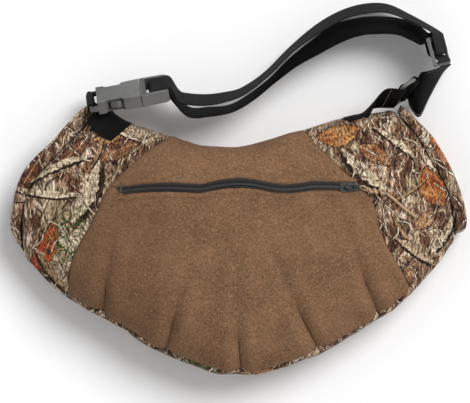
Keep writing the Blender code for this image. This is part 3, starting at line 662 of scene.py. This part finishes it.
def stitch_run(name, path, normals, surface, pitch=3.5, length=2.4, radius=0.3, lift=0.1):
    """A row of sewn stitches that lie along a path on a surface."""
    path, normals = np.asarray(path, dtype=float), np.asarray(normals, dtype=float)
    run = distances(path)
    vertices = []
    faces = []
    sides = 6
    for start in np.arange(pitch, run[-1] - pitch, pitch):
        places = start + np.array([0.0, 0.12, 0.5, 0.88, 1.0]) * length
        spots, ups = at_places(places, run, path), at_places(places, run, normals)
        ups /= np.linalg.norm(ups, axis=1, keepdims=True)
        forward = (spots[-1] - spots[0]) / np.linalg.norm(spots[-1] - spots[0])
        first = len(vertices)
        for spot, up, (size, rise) in zip(spots, ups, STITCH_RINGS):
            side = np.cross(forward, up)
            for k in range(sides):
                turn = 2 * pi * k / sides
                reach = radius * size * (side * cos(turn) + up * sin(turn))
                vertices.append(spot + up * (lift + rise * radius) + reach)
        faces += tube_faces(len(STITCH_RINGS), sides, first)
    return mesh_piece(name, vertices, faces, surface, sharp=0)


DARTS = (((-132, -33), (-136, -80)), ((-61, -63), (-74, -118)), ((-2, -89), (3, -138)),
         ((53, -60), (82, -116)), ((118, -25), (142, -81)))
ZIP_WAVE = ((-123, 46), (-118, 46.2), (-95, 49), (-72, 50), (-49, 49.2), (-37, 48.7), (-26, 51), (-14, 53),
            (-3, 54), (9, 53.6), (20, 52), (32, 49.6), (43, 48.4), (60, 49.4), (71, 51.2), (88, 51.2),
            (100, 50.6), (121, 50.5))


CREASE_DEPTH = 2.6
CREASE_WIDTH = 1.6
PUFF_OFFSET = 12
ZIP_PANEL_SPAN = (-123, 121)
CHANNEL_DEPTH = 2.0
CHANNEL_EDGE = (4.7, 5.6)
LIP_HEIGHT = 1.5
LIP_OFFSET = 6.9


def zip_y(x):
    wave = np.asarray(ZIP_WAVE, dtype=float)
    return hermite(wave[:, 0], wave[:, 1], np.asarray(x, dtype=float).ravel()).reshape(np.shape(x))


def dart_relief(x, y):
    """Creases of the lap side's darts, and the soft folds that run on above them."""
    total = np.zeros_like(x)
    for apex, end in DARTS:
        apex, end = np.array(apex, dtype=float), np.array(end, dtype=float)
        run = end - apex
        length = np.linalg.norm(run)
        run /= length
        along = (x - apex[0]) * run[0] + (y - apex[1]) * run[1]
        side = (x - apex[0]) * -run[1] + (y - apex[1]) * run[0]
        crease = smoothstep(-2, length * 0.55, along)
        total -= CREASE_DEPTH * crease * (bell(side, CREASE_WIDTH) + bell(side, 6))
        total += 1.6 * crease * bell(np.abs(side), 7, PUFF_OFFSET)
        fade = smoothstep(-75, 0, along) * (1 - smoothstep(0, length, along))
        lean = side + 0.06 * along
        total += fade * (1.1 * bell(np.abs(lean), 6, PUFF_OFFSET) - 2.3 * bell(lean, 6))
    return total


def zip_relief(x, y):
    """The channel that the zip is sewn into, with its raised lips."""
    inside = smoothstep(-128, -121, x) * (1 - smoothstep(110, 117, x))
    off = np.abs(y - zip_y(np.clip(x, *ZIP_PANEL_SPAN)))
    channel = -CHANNEL_DEPTH * (1 - smoothstep(*CHANNEL_EDGE, off))
    lips = LIP_HEIGHT * bell(off, 2.2, LIP_OFFSET)
    gather = 0.35 * np.sin(x / 2.9 + np.sin(x / 11)) * bell(off, 5, 8)
    return inside * (channel + lips + gather)


# how deep a sewn edge rolls in, and over what reach
CUFF_TUCK = (3.6, 2.4)
SEAM_TUCK = (2.2, 1.8)
BELT_TUCK = (1.4, 2.2)


def panel(name, stations, angles, surface, relief, tucks, node, slot_name, thread=None, sewn=()):
    """A sewn panel: its edges roll in by tucks (first and last station, first and last angle)."""
    points = skin(stations, angles)
    normals = grid_normals(points)
    if normals[len(stations) // 2, len(angles) // 2, 2] * (1 if name != "back_shell" else -1) < 0:
        normals = -normals
    amount = relief(points)
    ends = edge_run(points, 0) + edge_run(points, 1)
    for distance, (tuck, reach) in zip(ends, tucks):
        amount = amount - tuck * bell(distance, reach)
        amount = amount + 0.22 * tuck * bell(distance, 1.4 * reach, 3.1 * reach)
    moved = points + normals * amount[..., None]
    moved[..., 2] = np.maximum(moved[..., 2], FLOOR_CLEARANCE)
    rows, columns = points.shape[:2]
    for number, (axis, end, inset) in enumerate(sewn):
        distance = ends[2 * axis + end]
        middle = distance[:, columns // 2] if axis == 0 else distance[rows // 2]
        line = int(np.argmin(np.abs(middle - inset)))
        path = moved[line] if axis == 0 else moved[:, line]
        ups = normals[line] if axis == 0 else normals[:, line]
        of_muff(stitch_run(f"{name}_stitches_{number}", path, ups, thread), slot_name)
    faces = grid_faces(rows, columns)
    made = mesh_piece(name, moved.reshape(-1, 3), faces, surface, sharp=0)
    outward = made.data.polygons[len(faces) // 2].normal.dot(Vector(normals[rows // 2, columns // 2]))
    if outward < 0:
        made.data.flip_normals()
    add_wall(made, SHELL_WALL, -1.0)
    of_muff(made, slot_name, node)


def front_relief(points):
    x, y = points[..., 0], points[..., 1]
    total = dart_relief(x, y) + zip_relief(x, y)
    total += 0.5 * ripple(x, y, 70, 5) + 0.22 * ripple(x, y, 24, 9)
    return total


def side_relief(points):
    x, y = points[..., 0], points[..., 1]
    rows = edge_run(points, 0)
    cuff_side = rows[0] if x.mean() < 0 else rows[1]
    around = edge_run(points, 1)[0]
    gather = np.sin(around / 2.6 + 1.5 * np.sin(around / 13))
    total = 0.7 * ripple(x, y, 46, 21) + 0.35 * ripple(x, y, 18, 4)
    total += 0.55 * gather * bell(cuff_side, 9)
    return total + 0.8 * smoothstep(8, 60, cuff_side) * np.sin(around / 15 + cuff_side / 22)


def back_relief(points):
    x, y = points[..., 0], points[..., 1]
    lap = bell(edge_run(points, 1)[1], 7)
    gather = 0.3 * np.sin(x / 5.2 + np.sin(y / 9)) * smoothstep(12, 60, points[..., 2])
    return lap * dart_relief(x, y) + 0.5 * ripple(x, y, 50, 33) + gather


def build_shell(brown, camo, lining, thread):
    left, right = SEAM_S
    fine = 1
    panel("front_shell", np.linspace(left, right, 261 // fine), even_angles(LAP_SEAM_ANGLE, 180, 231 // fine),
          brown, front_relief, (SEAM_TUCK, SEAM_TUCK, (2.4, 1.9), BELT_TUCK), "front_panel", "brown_fleece")
    for side, low, high, cuff_first in (("left", CUFF_S, left, True), ("right", right, 1 - CUFF_S, False)):
        tucks = (CUFF_TUCK, SEAM_TUCK) if cuff_first else (SEAM_TUCK, CUFF_TUCK)
        sewn = ((0, 1, 5.0), (0, 0, 7.5)) if cuff_first else ((0, 0, 5.0), (0, 1, 7.5))
        panel("side_shell_" + side, np.linspace(low, high, 101 // fine),
              even_angles(LAP_SEAM_ANGLE, 180, 181 // fine), camo, side_relief,
              (*tucks, (1.6, 1.8), BELT_TUCK), "side_panel_" + side, "camouflage", thread, sewn)
    panel("back_shell", np.linspace(CUFF_S, 1 - CUFF_S, 361 // fine),
          even_angles(180, 360 + LAP_SEAM_ANGLE, 201 // fine), camo, back_relief,
          (CUFF_TUCK, CUFF_TUCK, BELT_TUCK, (2.0, 1.9)), "back_panel", "camouflage", thread, ((1, 1, 4.5),))
    for side, end in (("left", 0), ("right", 1)):
        build_cuff(side, end, camo)
    build_lining(lining)
    build_pocket(lining)


POUCH_STATIONS = (0.34, 0.66)
POUCH_ANGLES = (66, 150)
POUCH_DEPTH = 6.6
POUCH_POINTS = 41


def build_pocket(lining):
    """The pouch behind the zip."""
    stations = np.linspace(*POUCH_STATIONS, POUCH_POINTS)
    points = skin(stations, even_angles(*POUCH_ANGLES, POUCH_POINTS), POUCH_DEPTH)
    faces = grid_faces(POUCH_POINTS, POUCH_POINTS)
    made = mesh_piece("zip_pouch", points.reshape(-1, 3), faces, lining, sharp=0)
    add_wall(made, 1.0, 0.0)
    of_muff(made, "lining_fleece", "pocket_bag")


# cross section of the hem: station, depth under the outer surface
HEM_OUTLINE = ((CUFF_S + 0.001, 3.4), (CUFF_S - 0.003, 1.4), (0.043, 0.1), (0.034, -0.9), (0.024, -1.2),
               (0.014, -0.9), (0.006, 0.2), (0.001, 2.2), (0.0, 5.0), (0.0, 8.5), (0.003, 11.2),
               (0.009, 12.8), (0.02, 13.4), (0.034, 13.4), (CUFF_S, 13.1), (CUFF_S, 11.4), (0.03, 11.4),
               (0.011, 10.6), (0.008, 7.0), (0.011, 2.8), (0.02, 1.2), (0.034, 1.2), (0.045, 2.4))


def build_cuff(side, end, camo):
    """Rolled hem with the gathers of the elastic inside it."""
    angles = even_angles(0, 360, 361)[:-1]
    closed = np.asarray(HEM_OUTLINE + HEM_OUTLINE[:1], dtype=float)
    smooth = hermite(range(len(closed)), closed, np.linspace(0, len(closed) - 1, 4 * len(closed) - 3))[:-1]
    stations = np.abs(smooth[:, 0]) if end == 0 else 1 - np.abs(smooth[:, 0])
    mouth = skin([0.0 if end == 0 else 1.0], angles)[0]
    run = distances(mouth)
    gather = np.sin(run / 2.3 + 1.3 * np.sin(run / 15.0) + end)
    fold = (bell(smooth[:, 0], 0.016, 0.046) * (smooth[:, 1] < 6))[:, None]
    depth = smooth[:, 1][:, None] - 0.55 * gather[None, :] * (0.25 + fold)
    depth = depth - 0.5 * np.sin(run / 19.0 + 2 * end)[None, :]
    rings = skin(np.repeat(stations[:, None], len(angles), 1), angles, depth)
    rings[..., 2] = np.maximum(rings[..., 2], FLOOR_CLEARANCE)
    rows, columns = rings.shape[:2]
    faces = grid_faces(rows, columns, closed=True)
    last = (rows - 1) * columns
    faces += [(last + k, k, (k + 1) % columns, last + (k + 1) % columns) for k in range(columns)]
    made = mesh_piece("cuff_hem_" + side, rings.reshape(-1, 3), faces, camo, sharp=0)
    of_muff(made, "camouflage", "cuff_" + side)


def build_lining(surface):
    """The fleece tunnel for the hands, tucked behind both hems."""
    rows, columns = 181, 200
    angles = even_angles(0, 360, columns + 1)[:-1]
    stations = np.linspace(0.004, 0.996, rows)
    outer, inner = [skin(stations, angles, depth) for depth in LINING_DEPTH]
    x, y = inner[..., 0], inner[..., 1]
    inner[..., 2] += 0.5 * ripple(x, y, 30, 8) * np.where(inner[..., 2] > 30, -1, 1)
    vertices = np.concatenate([outer.reshape(-1, 3), inner.reshape(-1, 3)])
    half = rows * columns
    last = half - columns
    tube = grid_faces(rows, columns, closed=True)
    faces = tube + [tuple(half + corner for corner in reversed(face)) for face in tube]
    for k in range(columns):
        n = (k + 1) % columns
        faces.append((k, n, half + n, half + k))
        faces.append((last + k, half + last + k, half + last + n, last + n))
    made = mesh_piece("hand_lining", vertices, faces, surface, sharp=0)
    of_muff(made, "lining_fleece", "lining", "insulation")


# ---- zip
ZIP_START = -118.0
ZIP_END = 103.5


def on_zip(x, off, lift):
    """A point beside the zip's line, lifted off the front."""
    slope = (zip_y(x + 0.5) - zip_y(x - 0.5))
    tilt = 1 / np.sqrt(1 + slope ** 2)
    lean = np.arcsin(x / FRONT_RADIUS)
    return np.stack([x - off * slope * tilt + lift * np.sin(lean), zip_y(x) + off * tilt,
                     front_arc(x) + lift * np.cos(lean)], axis=-1)


def zip_strip(name, xs, profile, surface, node, slot_name):
    """A strip of one cross section, (off, lift) points, along the zip."""
    xs = np.asarray(xs, dtype=float)
    rings = np.stack([on_zip(xs, off, lift) for off, lift in profile], axis=1)
    faces = tube_faces(len(xs), len(profile))
    uv = [(x * MM, off * MM) for x in xs for off, _ in profile]
    of_muff(mesh_piece(name, rings.reshape(-1, 3), faces, surface, uv), slot_name, node)


TAPE_PROFILE = ((2.6, 0.3), (3.4, 0.2), (4.8, 0.2), (5.6, -0.4), (5.7, 0.1), (4.9, 0.9), (3.4, 1.1),
                (2.6, 0.9))
TAPE_SPAN = (-121, 116)
TOOTH_PITCH = 2.1
FIRST_TOOTH = ZIP_START + 3.2
TOOTH_ROOT = 3.5
# along the chain, off its middle
TOOTH_OUTLINE = ((-0.5, TOOTH_ROOT), (0.5, TOOTH_ROOT), (0.5, 1.2), (0.86, 0.5), (0.86, -0.9), (0.5, -1.3),
                 (-0.5, -1.3), (-0.86, -0.9), (-0.86, 0.5), (-0.5, 1.2))
TOOTH_LAYERS = ((0.0, 0.86), (0.35, 1.0), (1.75, 1.0), (2.2, 0.72))    # height, growth


def build_zip(tape, tooth):
    count = int((ZIP_END - ZIP_START - 3.0) / TOOTH_PITCH)
    for side, sign in (("upper", 1), ("lower", -1)):
        profile = [(sign * off, lift) for off, lift in TAPE_PROFILE]
        zip_strip("tape_" + side, np.linspace(*TAPE_SPAN, 160), profile, tape, "zip_tape_" + side, "zip_tape")
        vertices = []
        faces = []
        for i in range(count):
            centre = FIRST_TOOTH + (i if sign > 0 else i + 0.5) * TOOTH_PITCH
            start = len(vertices)
            for lift, grow in TOOTH_LAYERS:
                for along, off in TOOTH_OUTLINE:
                    off = off if off == TOOTH_ROOT else off * grow
                    vertices.append(on_zip(np.array([centre + along * grow]), sign * off, lift)[0])
            faces += tube_faces(len(TOOTH_LAYERS), len(TOOTH_OUTLINE), start)
        made = mesh_piece("teeth_" + side, vertices, faces, tooth, sharp=50)
        of_muff(made, "zip_teeth", "zip_teeth_" + side)


# ---- belt
WEB_WIDTH = 38.0
WEB_THICK = 1.6
WEB_STITCH = (3.2, 1.9, 0.3, WEB_THICK / 2 + 0.05)    # pitch, length, radius, lift
GAP = 0.3
# centre, heading, lean
BUCKLE_FRAME = ((-109.9, 142.8, 46.0), 10.7, 68.0)
GLIDE_FRAME = ((200.0, 187.0, 38.0), -75.0, 70.0)
SOCKET_END = -40.0
PLUG_END = 40.0
RING_WIRE = 2.0
RING_GAP = 14.0
RING_PLACE = (159.2, 141.9, 43.5)
RING_ALONG = (0.733, 0.471, -0.489)
RING_BAR = (-0.27, -0.457, -0.847)
GLIDE_THICK = 3.0
# edge points of the standing belt: low edge x, y, high edge x, y, middle height
OUTER_RUN = ((196.5, 211, 191.0, 206, 35), (173.4, 224, 169.4, 217, 31), (149.4, 235, 147.4, 225, 28),
             (125.4, 235.2, 125.4, 223.8, 25), (101.4, 228, 105.4, 218.5, 23), (77.4, 214, 81.4, 205, 21.5),
             (51.4, 192, 55.4, 186.5, 20.5), (26.4, 167, 30.4, 162, 22), (3.0, 151, 6.0, 143, 28),
             (-15.6, 146, -15.6, 135, 34), (-33.0, 144, -33.0, 132, 39), (-50.6, 145, -52.6, 133, 43),
             (-59.6, 148, -61.0, 136.5, 44))
INNER_RUN = ((-50.6, 132, -50.6, 121, 41), (-29.6, 131.5, -29.6, 121, 38), (-8.0, 134, -5.0, 126, 33),
             (11.4, 145.5, 16.0, 138.5, 28), (31.4, 161, 37.4, 156, 24), (51.0, 180.5, 58.0, 171.5, 23),
             (76.0, 200.5, 81.5, 184.5, 23), (97.0, 215, 102.4, 195.5, 24), (122.4, 221.5, 122.4, 202.5, 26),
             (143.0, 222.5, 142.4, 204, 28), (162.0, 220.5, 158.4, 203, 31), (179.0, 214.5, 171.0, 198, 33),
             (190.0, 206, 181.0, 193, 35))
ANCHOR_RUN = ((206.0, 167, 197.5, 169, 38), (199.5, 156, 188.0, 166, 38), (190.5, 139, 182.0, 165, 37),
              (180.8, 121, 178.5, 158.2, 35), (172.0, 131.5, 178.5, 160, 34))
# the belt's way through the tri-glide, in its own x and z
GLIDE_PATH = ((-11, -5.9), (-6, -5.7), (0, -5.6), (3, -4.2), (6.4, 0.4), (9.5, 3.2), (12.5, 3.4))
BELT_TAIL_SIDE = 2.2
LEFT_TAB_SEWN = ((0.135, -1.7), (0.115, -1.9), (0.095, -3.2))
LEFT_TAB_TURN = (185, 130)
LEFT_TAB_FREE = ((-129, 130, -151, 118, 51),)
RIGHT_TAB_SEWN = ((0.865, -1.7), (0.885, -2.6), (0.9, -4.2))
RIGHT_TAB_TURN = (195, 155)
RIGHT_TAB_FREE = ((136.0, 130.0, 144.5, 147.0, 46),)


def leaning(place, heading, lean):
    """The frame of hardware that stands at a place, turned to a heading and leaned back."""
    return (Matrix.Translation(place) @ Matrix.Rotation(radians(heading), 4, "Z")
            @ Matrix.Rotation(radians(-lean), 4, "X"))


def ring_matrix():
    along = Vector(RING_ALONG).normalized()
    bar = Vector(RING_BAR)
    bar = (bar - along * bar.dot(along)).normalized()
    return Matrix.Translation(RING_PLACE) @ Matrix((along, bar, along.cross(bar))).transposed().to_4x4()


def standing(points):
    """Flat rows, low edge then high edge, of webbing that stands on its edge."""
    rows = []
    for low_x, low_y, high_x, high_y, middle in points:
        flat = min(sqrt((high_x - low_x) ** 2 + (high_y - low_y) ** 2), WEB_WIDTH - 0.5)
        half = sqrt(WEB_WIDTH ** 2 - flat ** 2) / 2
        rows.append([Vector((low_x, low_y, middle - half)), Vector((high_x, high_y, middle + half))])
    return rows


def local_row(matrix, x, z):
    half = WEB_WIDTH / 2
    return [matrix @ Vector((x, half, z)), matrix @ Vector((x, -half, z))]


def local_rows(matrix, *places):
    return [local_row(matrix, x, z) for x, z in places]


def bar_turn(matrix, x, radius, start, end, steps):
    return local_rows(matrix, *((x + radius * cos(a), radius * sin(a))
                                for a in np.radians(np.linspace(start, end, steps))))


def eased(rows, steps):
    """More rows along smooth curves through the given ones' points."""
    places = np.linspace(0, len(rows) - 1, (len(rows) - 1) * steps + 1)
    tracks = [hermite(range(len(rows)), [tuple(row[k]) for row in rows], places) for k in range(len(rows[0]))]
    return [[Vector(track[i]) for track in tracks] for i in range(len(places))]


def beside(rows, distance):
    moved = []
    for i, row in enumerate(rows):
        run = rows[min(i + 1, len(rows) - 1)][0] - rows[max(i - 1, 0)][0]
        off = run.cross(row[-1] - row[0]).normalized() * distance
        moved.append([p + off for p in row])
    return moved


def strap(name, rows, surface, columns=9):
    """Webbing with rounded edges through rows of points."""
    middle = []
    for row in rows:
        points = np.array([tuple(p) for p in row])
        spread = np.linspace(0, len(row) - 1, columns)
        middle.append(hermite(range(len(row)), points, spread) if len(row) > 2
                      else np.linspace(*points, columns))
    middle = np.array(middle)
    normals = grid_normals(middle)
    thick = np.full(columns, WEB_THICK / 2)
    thick[0] = thick[-1] = WEB_THICK * 0.22
    over = middle + normals * thick[None, :, None]
    under = middle - normals * thick[None, :, None]
    rings = np.concatenate([under, over[:, ::-1]], axis=1)
    count = 2 * columns
    run = distances(middle[:, columns // 2])
    wide = np.linspace(0, WEB_WIDTH, columns)
    places = np.concatenate([wide, wide[::-1]])
    uv = [(along * MM, across * MM) for along in run for across in places]
    faces = grid_faces(len(rows), count, closed=True)
    for i in (0, (len(rows) - 1) * count):
        for k in range(columns - 1):
            faces.append((i + k, i + k + 1, i + count - 2 - k, i + count - 1 - k))
    made = mesh_piece(name, rings.reshape(-1, 3), faces, surface, uv, sharp=60)
    return made


def split(rows, test):
    """Rows before and from the first one whose middle passes a test, one row shared."""
    for i, row in enumerate(rows):
        if test((row[0] + row[-1]) / 2):
            return rows[:i + 1], rows[i:]
    return rows, rows[-1:]


def build_belt(web, pale):
    buckle, ring = leaning(*BUCKLE_FRAME), ring_matrix()
    glide = leaning(*GLIDE_FRAME)
    clear = WEB_THICK / 2 + GAP
    bar = sqrt(GLIDE_THICK ** 2 / 4 + 1.4 ** 2) + clear + 0.05
    plug_side = 2.4 * sqrt(2) + clear
    wrap = local_rows(glide, (-20, -bar), (-14, -bar), (-8, -bar))
    wrap += bar_turn(glide, 0, bar, 270, 450, 13)
    wrap += local_rows(glide, (-8, bar))
    outer = eased(local_rows(glide, (-16, bar)) + standing(OUTER_RUN)
                  + local_rows(buckle, (PLUG_END + 3, plug_side + 0.4), (32, plug_side)), 6)
    plug_turn = bar_turn(buckle, 26, plug_side, 90, 270, 13) + local_rows(buckle, (32, -plug_side))
    inner = eased(local_rows(buckle, (PLUG_END, -plug_side)) + standing(INNER_RUN)
                  + local_rows(glide, GLIDE_PATH[0]), 6)
    through_glide = eased(local_rows(glide, *GLIDE_PATH), 3)
    ring_side = RING_WIRE + clear
    anchor = eased(local_rows(glide, (15.8, 3.4)) + standing(ANCHOR_RUN)
                   + local_rows(ring, (RING_GAP + 5, -ring_side), (RING_GAP, -ring_side)), 6)
    ring_turn = bar_turn(ring, RING_GAP, ring_side, 240, 120, 9)
    ring_turn += local_rows(ring, (RING_GAP, ring_side), (RING_GAP + 4, ring_side))
    tail = beside(anchor, BELT_TAIL_SIDE)
    ring_turn += [tail[i] for i in range(len(anchor) - 10, len(anchor) - 22, -1)]

    near, rest = split(outer, lambda p: p.x < 100)
    middle, end = split(rest, lambda p: p.x < 0)
    glide_loop = strap("belt_glide_loop", wrap + near, web)
    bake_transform(glide_loop)
    first, second = split(inner, lambda p: p.x > 0)
    plug_loop = strap("belt_plug_loop", end + plug_turn + first, web)
    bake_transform(plug_loop)
    outer_strand = strap("belt_outer_strand", middle, web)
    inner_strand = strap("belt_inner_strand", second + through_glide[1:], web)
    for piece in (outer_strand, inner_strand):
        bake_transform(piece)
    for number, share in enumerate((0.06, 0.94)):
        path = [row[0].lerp(row[1], share) for row in anchor[4:-6]]
        ups = [(b[0] - a[0]).cross(a[1] - a[0]).normalized() for a, b in zip(anchor[4:-6], anchor[5:-5])]
        ups = [u if u.z > 0 else -u for u in ups]
        run = stitch_run(f"anchor_stitches_{number}", path, ups, pale, *WEB_STITCH)
        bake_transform(run)
    anchor_strand = strap("belt_anchor_strand", anchor + ring_turn, web)
    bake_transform(anchor_strand)
    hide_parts("belt_webbing")


def widened(row, count):
    return [row[0].lerp(row[-1], k / (count - 1)) for k in range(count)]


def build_tabs(web, pale):
    buckle, ring = leaning(*BUCKLE_FRAME), ring_matrix()
    clear = WEB_THICK / 2 + GAP
    across = 9

    def sewn(places, turn):
        return [[Vector(p) for p in skin([s], np.linspace(turn[0], turn[1], across), depth)[0]]
                for s, depth in places]
    rows = sewn(LEFT_TAB_SEWN, LEFT_TAB_TURN)
    rows += [widened(r, across) for r in standing(LEFT_TAB_FREE)]
    bar_x = SOCKET_END + 1.4
    rows += [widened(local_row(buckle, bar_x + x, z), across) for x, z in ((3.0, -8), (3.3, -3))]
    rows = eased(rows, 5)
    for turn in np.radians(np.linspace(0, 180, 11)):
        rows.append(widened(local_row(buckle, bar_x + 3.3 * cos(turn), 4.4 * sin(turn)), across))
    rows += [widened(local_row(buckle, bar_x + x, z), across) for x, z in ((-3.3, -2.2), (-3.1, -3.8))]
    left = strap("tab_strap_left", rows, web)
    ring_side = RING_WIRE + clear
    rows = sewn(RIGHT_TAB_SEWN, RIGHT_TAB_TURN)
    rows += [widened(r, across) for r in standing(RIGHT_TAB_FREE)]
    rows.append(widened(local_row(ring, -1, -ring_side), across))
    rows = eased(rows, 5)
    rows += [widened(r, across) for r in bar_turn(ring, 0, ring_side, 300, 450, 10)]
    right = strap("tab_strap_right", rows, web)
    for number, line in enumerate((-14, -17)):
        row, ahead = rows[line], rows[line + 1]
        up = (ahead[0] - row[0]).cross(row[-1] - row[0]).normalized()
        up = up if up.z > 0 else -up
        run = stitch_run(f"tab_stitches_{number}", row, [up] * len(row), pale, *WEB_STITCH)
        of_muff(run, "black_webbing")
    for side, piece in (("left", left), ("right", right)):
        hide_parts("anchor_tab_" + side)
        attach(piece, "muff")


# ---- pull cord
CORD_RADIUS = 1.4
CORD_ROUTE = ((146.6, 44.8, 76.0), (155, 38, 74.2), (164, 30, 73.2), (171, 25, 71.8), (177, 20.5, 70.2))
KNOT_CENTRE = (137.0, 46.4, 78.6)
KNOT_LENGTH = 16.4
KNOT_TURNS = 3.0
TAB_EYE = (120.2, 50.5, 81.4)
# the loop from the knot through the pull tab's eye and back, measured from the eye
LOOP_ROUTE = ((8.6, -2.2, -1.8), (4.6, 0.9, 1.2), (1.2, 1.1, 1.5), (0.5, 0.2, -0.2), (1.2, -0.8, -2.1),
              (4.2, -2.2, -2.4), (8.6, -3.4, -2.2))


def curve_piece(name, points, radius, surface, cyclic=False):
    curve = bpy.data.curves.new(name, "CURVE")
    curve.dimensions = "3D"
    curve.bevel_depth = MM * radius
    curve.bevel_resolution = 5
    curve.use_fill_caps = not cyclic
    spline = curve.splines.new("POLY")
    spline.points.add(len(points) - 1)
    for point, place in zip(spline.points, points):
        point.co = (*[MM * float(c) for c in place], 1.0)
    spline.use_cyclic_u = cyclic
    curve.materials.append(surface)
    return in_scene(name, curve)


def build_cord(tan):
    route = even(CORD_ROUTE, 24)
    cord = curve_piece("pull_strand", route, CORD_RADIUS, tan)
    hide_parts("pull_cord")
    turn = (Matrix.Translation(KNOT_CENTRE) @ Matrix.Rotation(radians(-8), 4, "Z")
            @ Matrix.Rotation(radians(8), 4, "Y"))
    coil = []
    for share in np.linspace(0, 1, 97):
        angle = share * 2 * pi * KNOT_TURNS
        swell = 1.55 + 0.35 * sin(pi * share)
        along = KNOT_LENGTH * (share - 0.5)
        coil.append(turn @ Vector((along, swell * cos(angle) * 1.1, swell * sin(angle) * 0.95)))
    knot = curve_piece("cord_knot", coil, 1.25, tan)
    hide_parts("pull_cord_knot")
    loop = even(np.array(LOOP_ROUTE) + TAB_EYE, 30)
    eyelet = curve_piece("cord_loop", loop, 0.95, tan)
    for piece in (cord, knot, eyelet):
        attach(piece, "pull_tab")


# ---- camera, light, floor
SKY_STRENGTH = 0.54
SUN_STRENGTH = 2.3
SUN_SPREAD = 32         # degrees
SUN_FROM = (0.42, 0.44, 0.79)
FLOOR_REACH = 3.0       # metres to each side
CAMERA_REACH = 5.0      # metres from the camera to the muff
VIEW_WIDTH = 0.470      # metres across the view there


def build_camera():
    camera = bpy.data.cameras.new("camera")
    camera.sensor_width = 36.0
    camera.lens = 36.0 * CAMERA_REACH / VIEW_WIDTH
    camera.clip_end = 20.0
    SCENE.camera = in_scene("camera", camera)
    SCENE.camera.location = (-0.0036, 0.0365, 5.04)


def build_studio():
    SCENE.view_settings.view_transform = "Standard"
    world = bpy.data.worlds.new("studio")
    world.use_nodes = True
    background = world.node_tree.nodes["Background"]
    background.inputs["Color"].default_value = (1.0, 1.0, 1.0, 1.0)
    background.inputs["Strength"].default_value = SKY_STRENGTH
    SCENE.world = world
    sun = bpy.data.lights.new("key", "SUN")
    sun.energy = SUN_STRENGTH
    sun.angle = radians(SUN_SPREAD)
    key = in_scene("key", sun)
    key.rotation_euler = Vector(SUN_FROM).to_track_quat("Z", "Y").to_euler()
    floor_net = Net("paper_floor", 0.9)
    floor_net.colour(floor_net.ramp(floor_net.noise(0.01, 2), (0.3, (0.93, 0.93, 0.935, 1)),
                                    (0.7, (0.945, 0.945, 0.95, 1))))
    mesh = bpy.data.meshes.new("floor")
    corners = ((-1, -1), (1, -1), (1, 1), (-1, 1))
    mesh.from_pydata([(FLOOR_REACH * x, FLOOR_REACH * y, -0.0005) for x, y in corners], [], [(0, 1, 2, 3)])
    mesh.materials.append(floor_net.material)
    in_scene("floor", mesh)


def finish_node(name, surface, bevel=0.0):
    """A carried-over CAD node: its material, and a small rounding of its edges."""
    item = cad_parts[name]
    for slot in item.material_slots:
        slot.material = surface
    if bevel:
        rounding = item.modifiers.new("rounding", "BEVEL")
        rounding.width = bevel * MM
        rounding.segments = 3
        rounding.limit_method = "ANGLE"
        rounding.angle_limit = radians(40)
        rounding.harden_normals = False


def main():
    build_camera()
    tan = yarn("tan_braid", tone(120, 88, 58), tone(206, 176, 138))
    build_cord(tan)
    brown, camo, lining = brown_fleece(), camouflage(), lining_fleece()
    thread = yarn("brown_thread", tone(58, 40, 28), tone(128, 98, 70), 2.5)
    build_shell(brown, camo, lining, thread)
    tape = tape_material()
    tooth = moulded("black_zip_teeth", tone(20, 20, 21), tone(58, 58, 59), 0.34)
    build_zip(tape, tooth)
    web = webbing_material()
    pale = yarn("pale_thread", tone(120, 120, 122), tone(176, 176, 178), 2.5)
    build_belt(web, pale)
    build_tabs(web, pale)
    grey = plastic()
    for name in ("buckle_socket", "buckle_plug", "buckle_arm_upper", "buckle_arm_lower"):
        finish_node(name, grey, 0.7)
    finish_node("strap_ring", moulded("grey_coated_wire", tone(84, 84, 82), tone(124, 123, 120), 0.45))
    nickel = metal("bright_nickel", tone(70, 71, 70), tone(116, 116, 114), 0.5, 0.85, tone(160, 160, 157))
    finish_node("tri_glide", nickel, 0.6)
    black = metal("black_enamel", tone(12, 12, 13), tone(28, 28, 30), 0.34, 0.2, tone(84, 84, 84))
    elastic = wadding()
    for name, surface, bevel in (("zip_slider", black, 0.25), ("zip_pull_tab", black, 0.25),
                                 ("zip_top_stop_upper", black, 0.3), ("zip_top_stop_lower", black, 0.3),
                                 ("zip_bottom_stop", black, 0.3), ("elastic_left", elastic, 0.0),
                                 ("elastic_right", elastic, 0.0)):
        finish_node(name, surface, bevel)
    build_studio()


main()
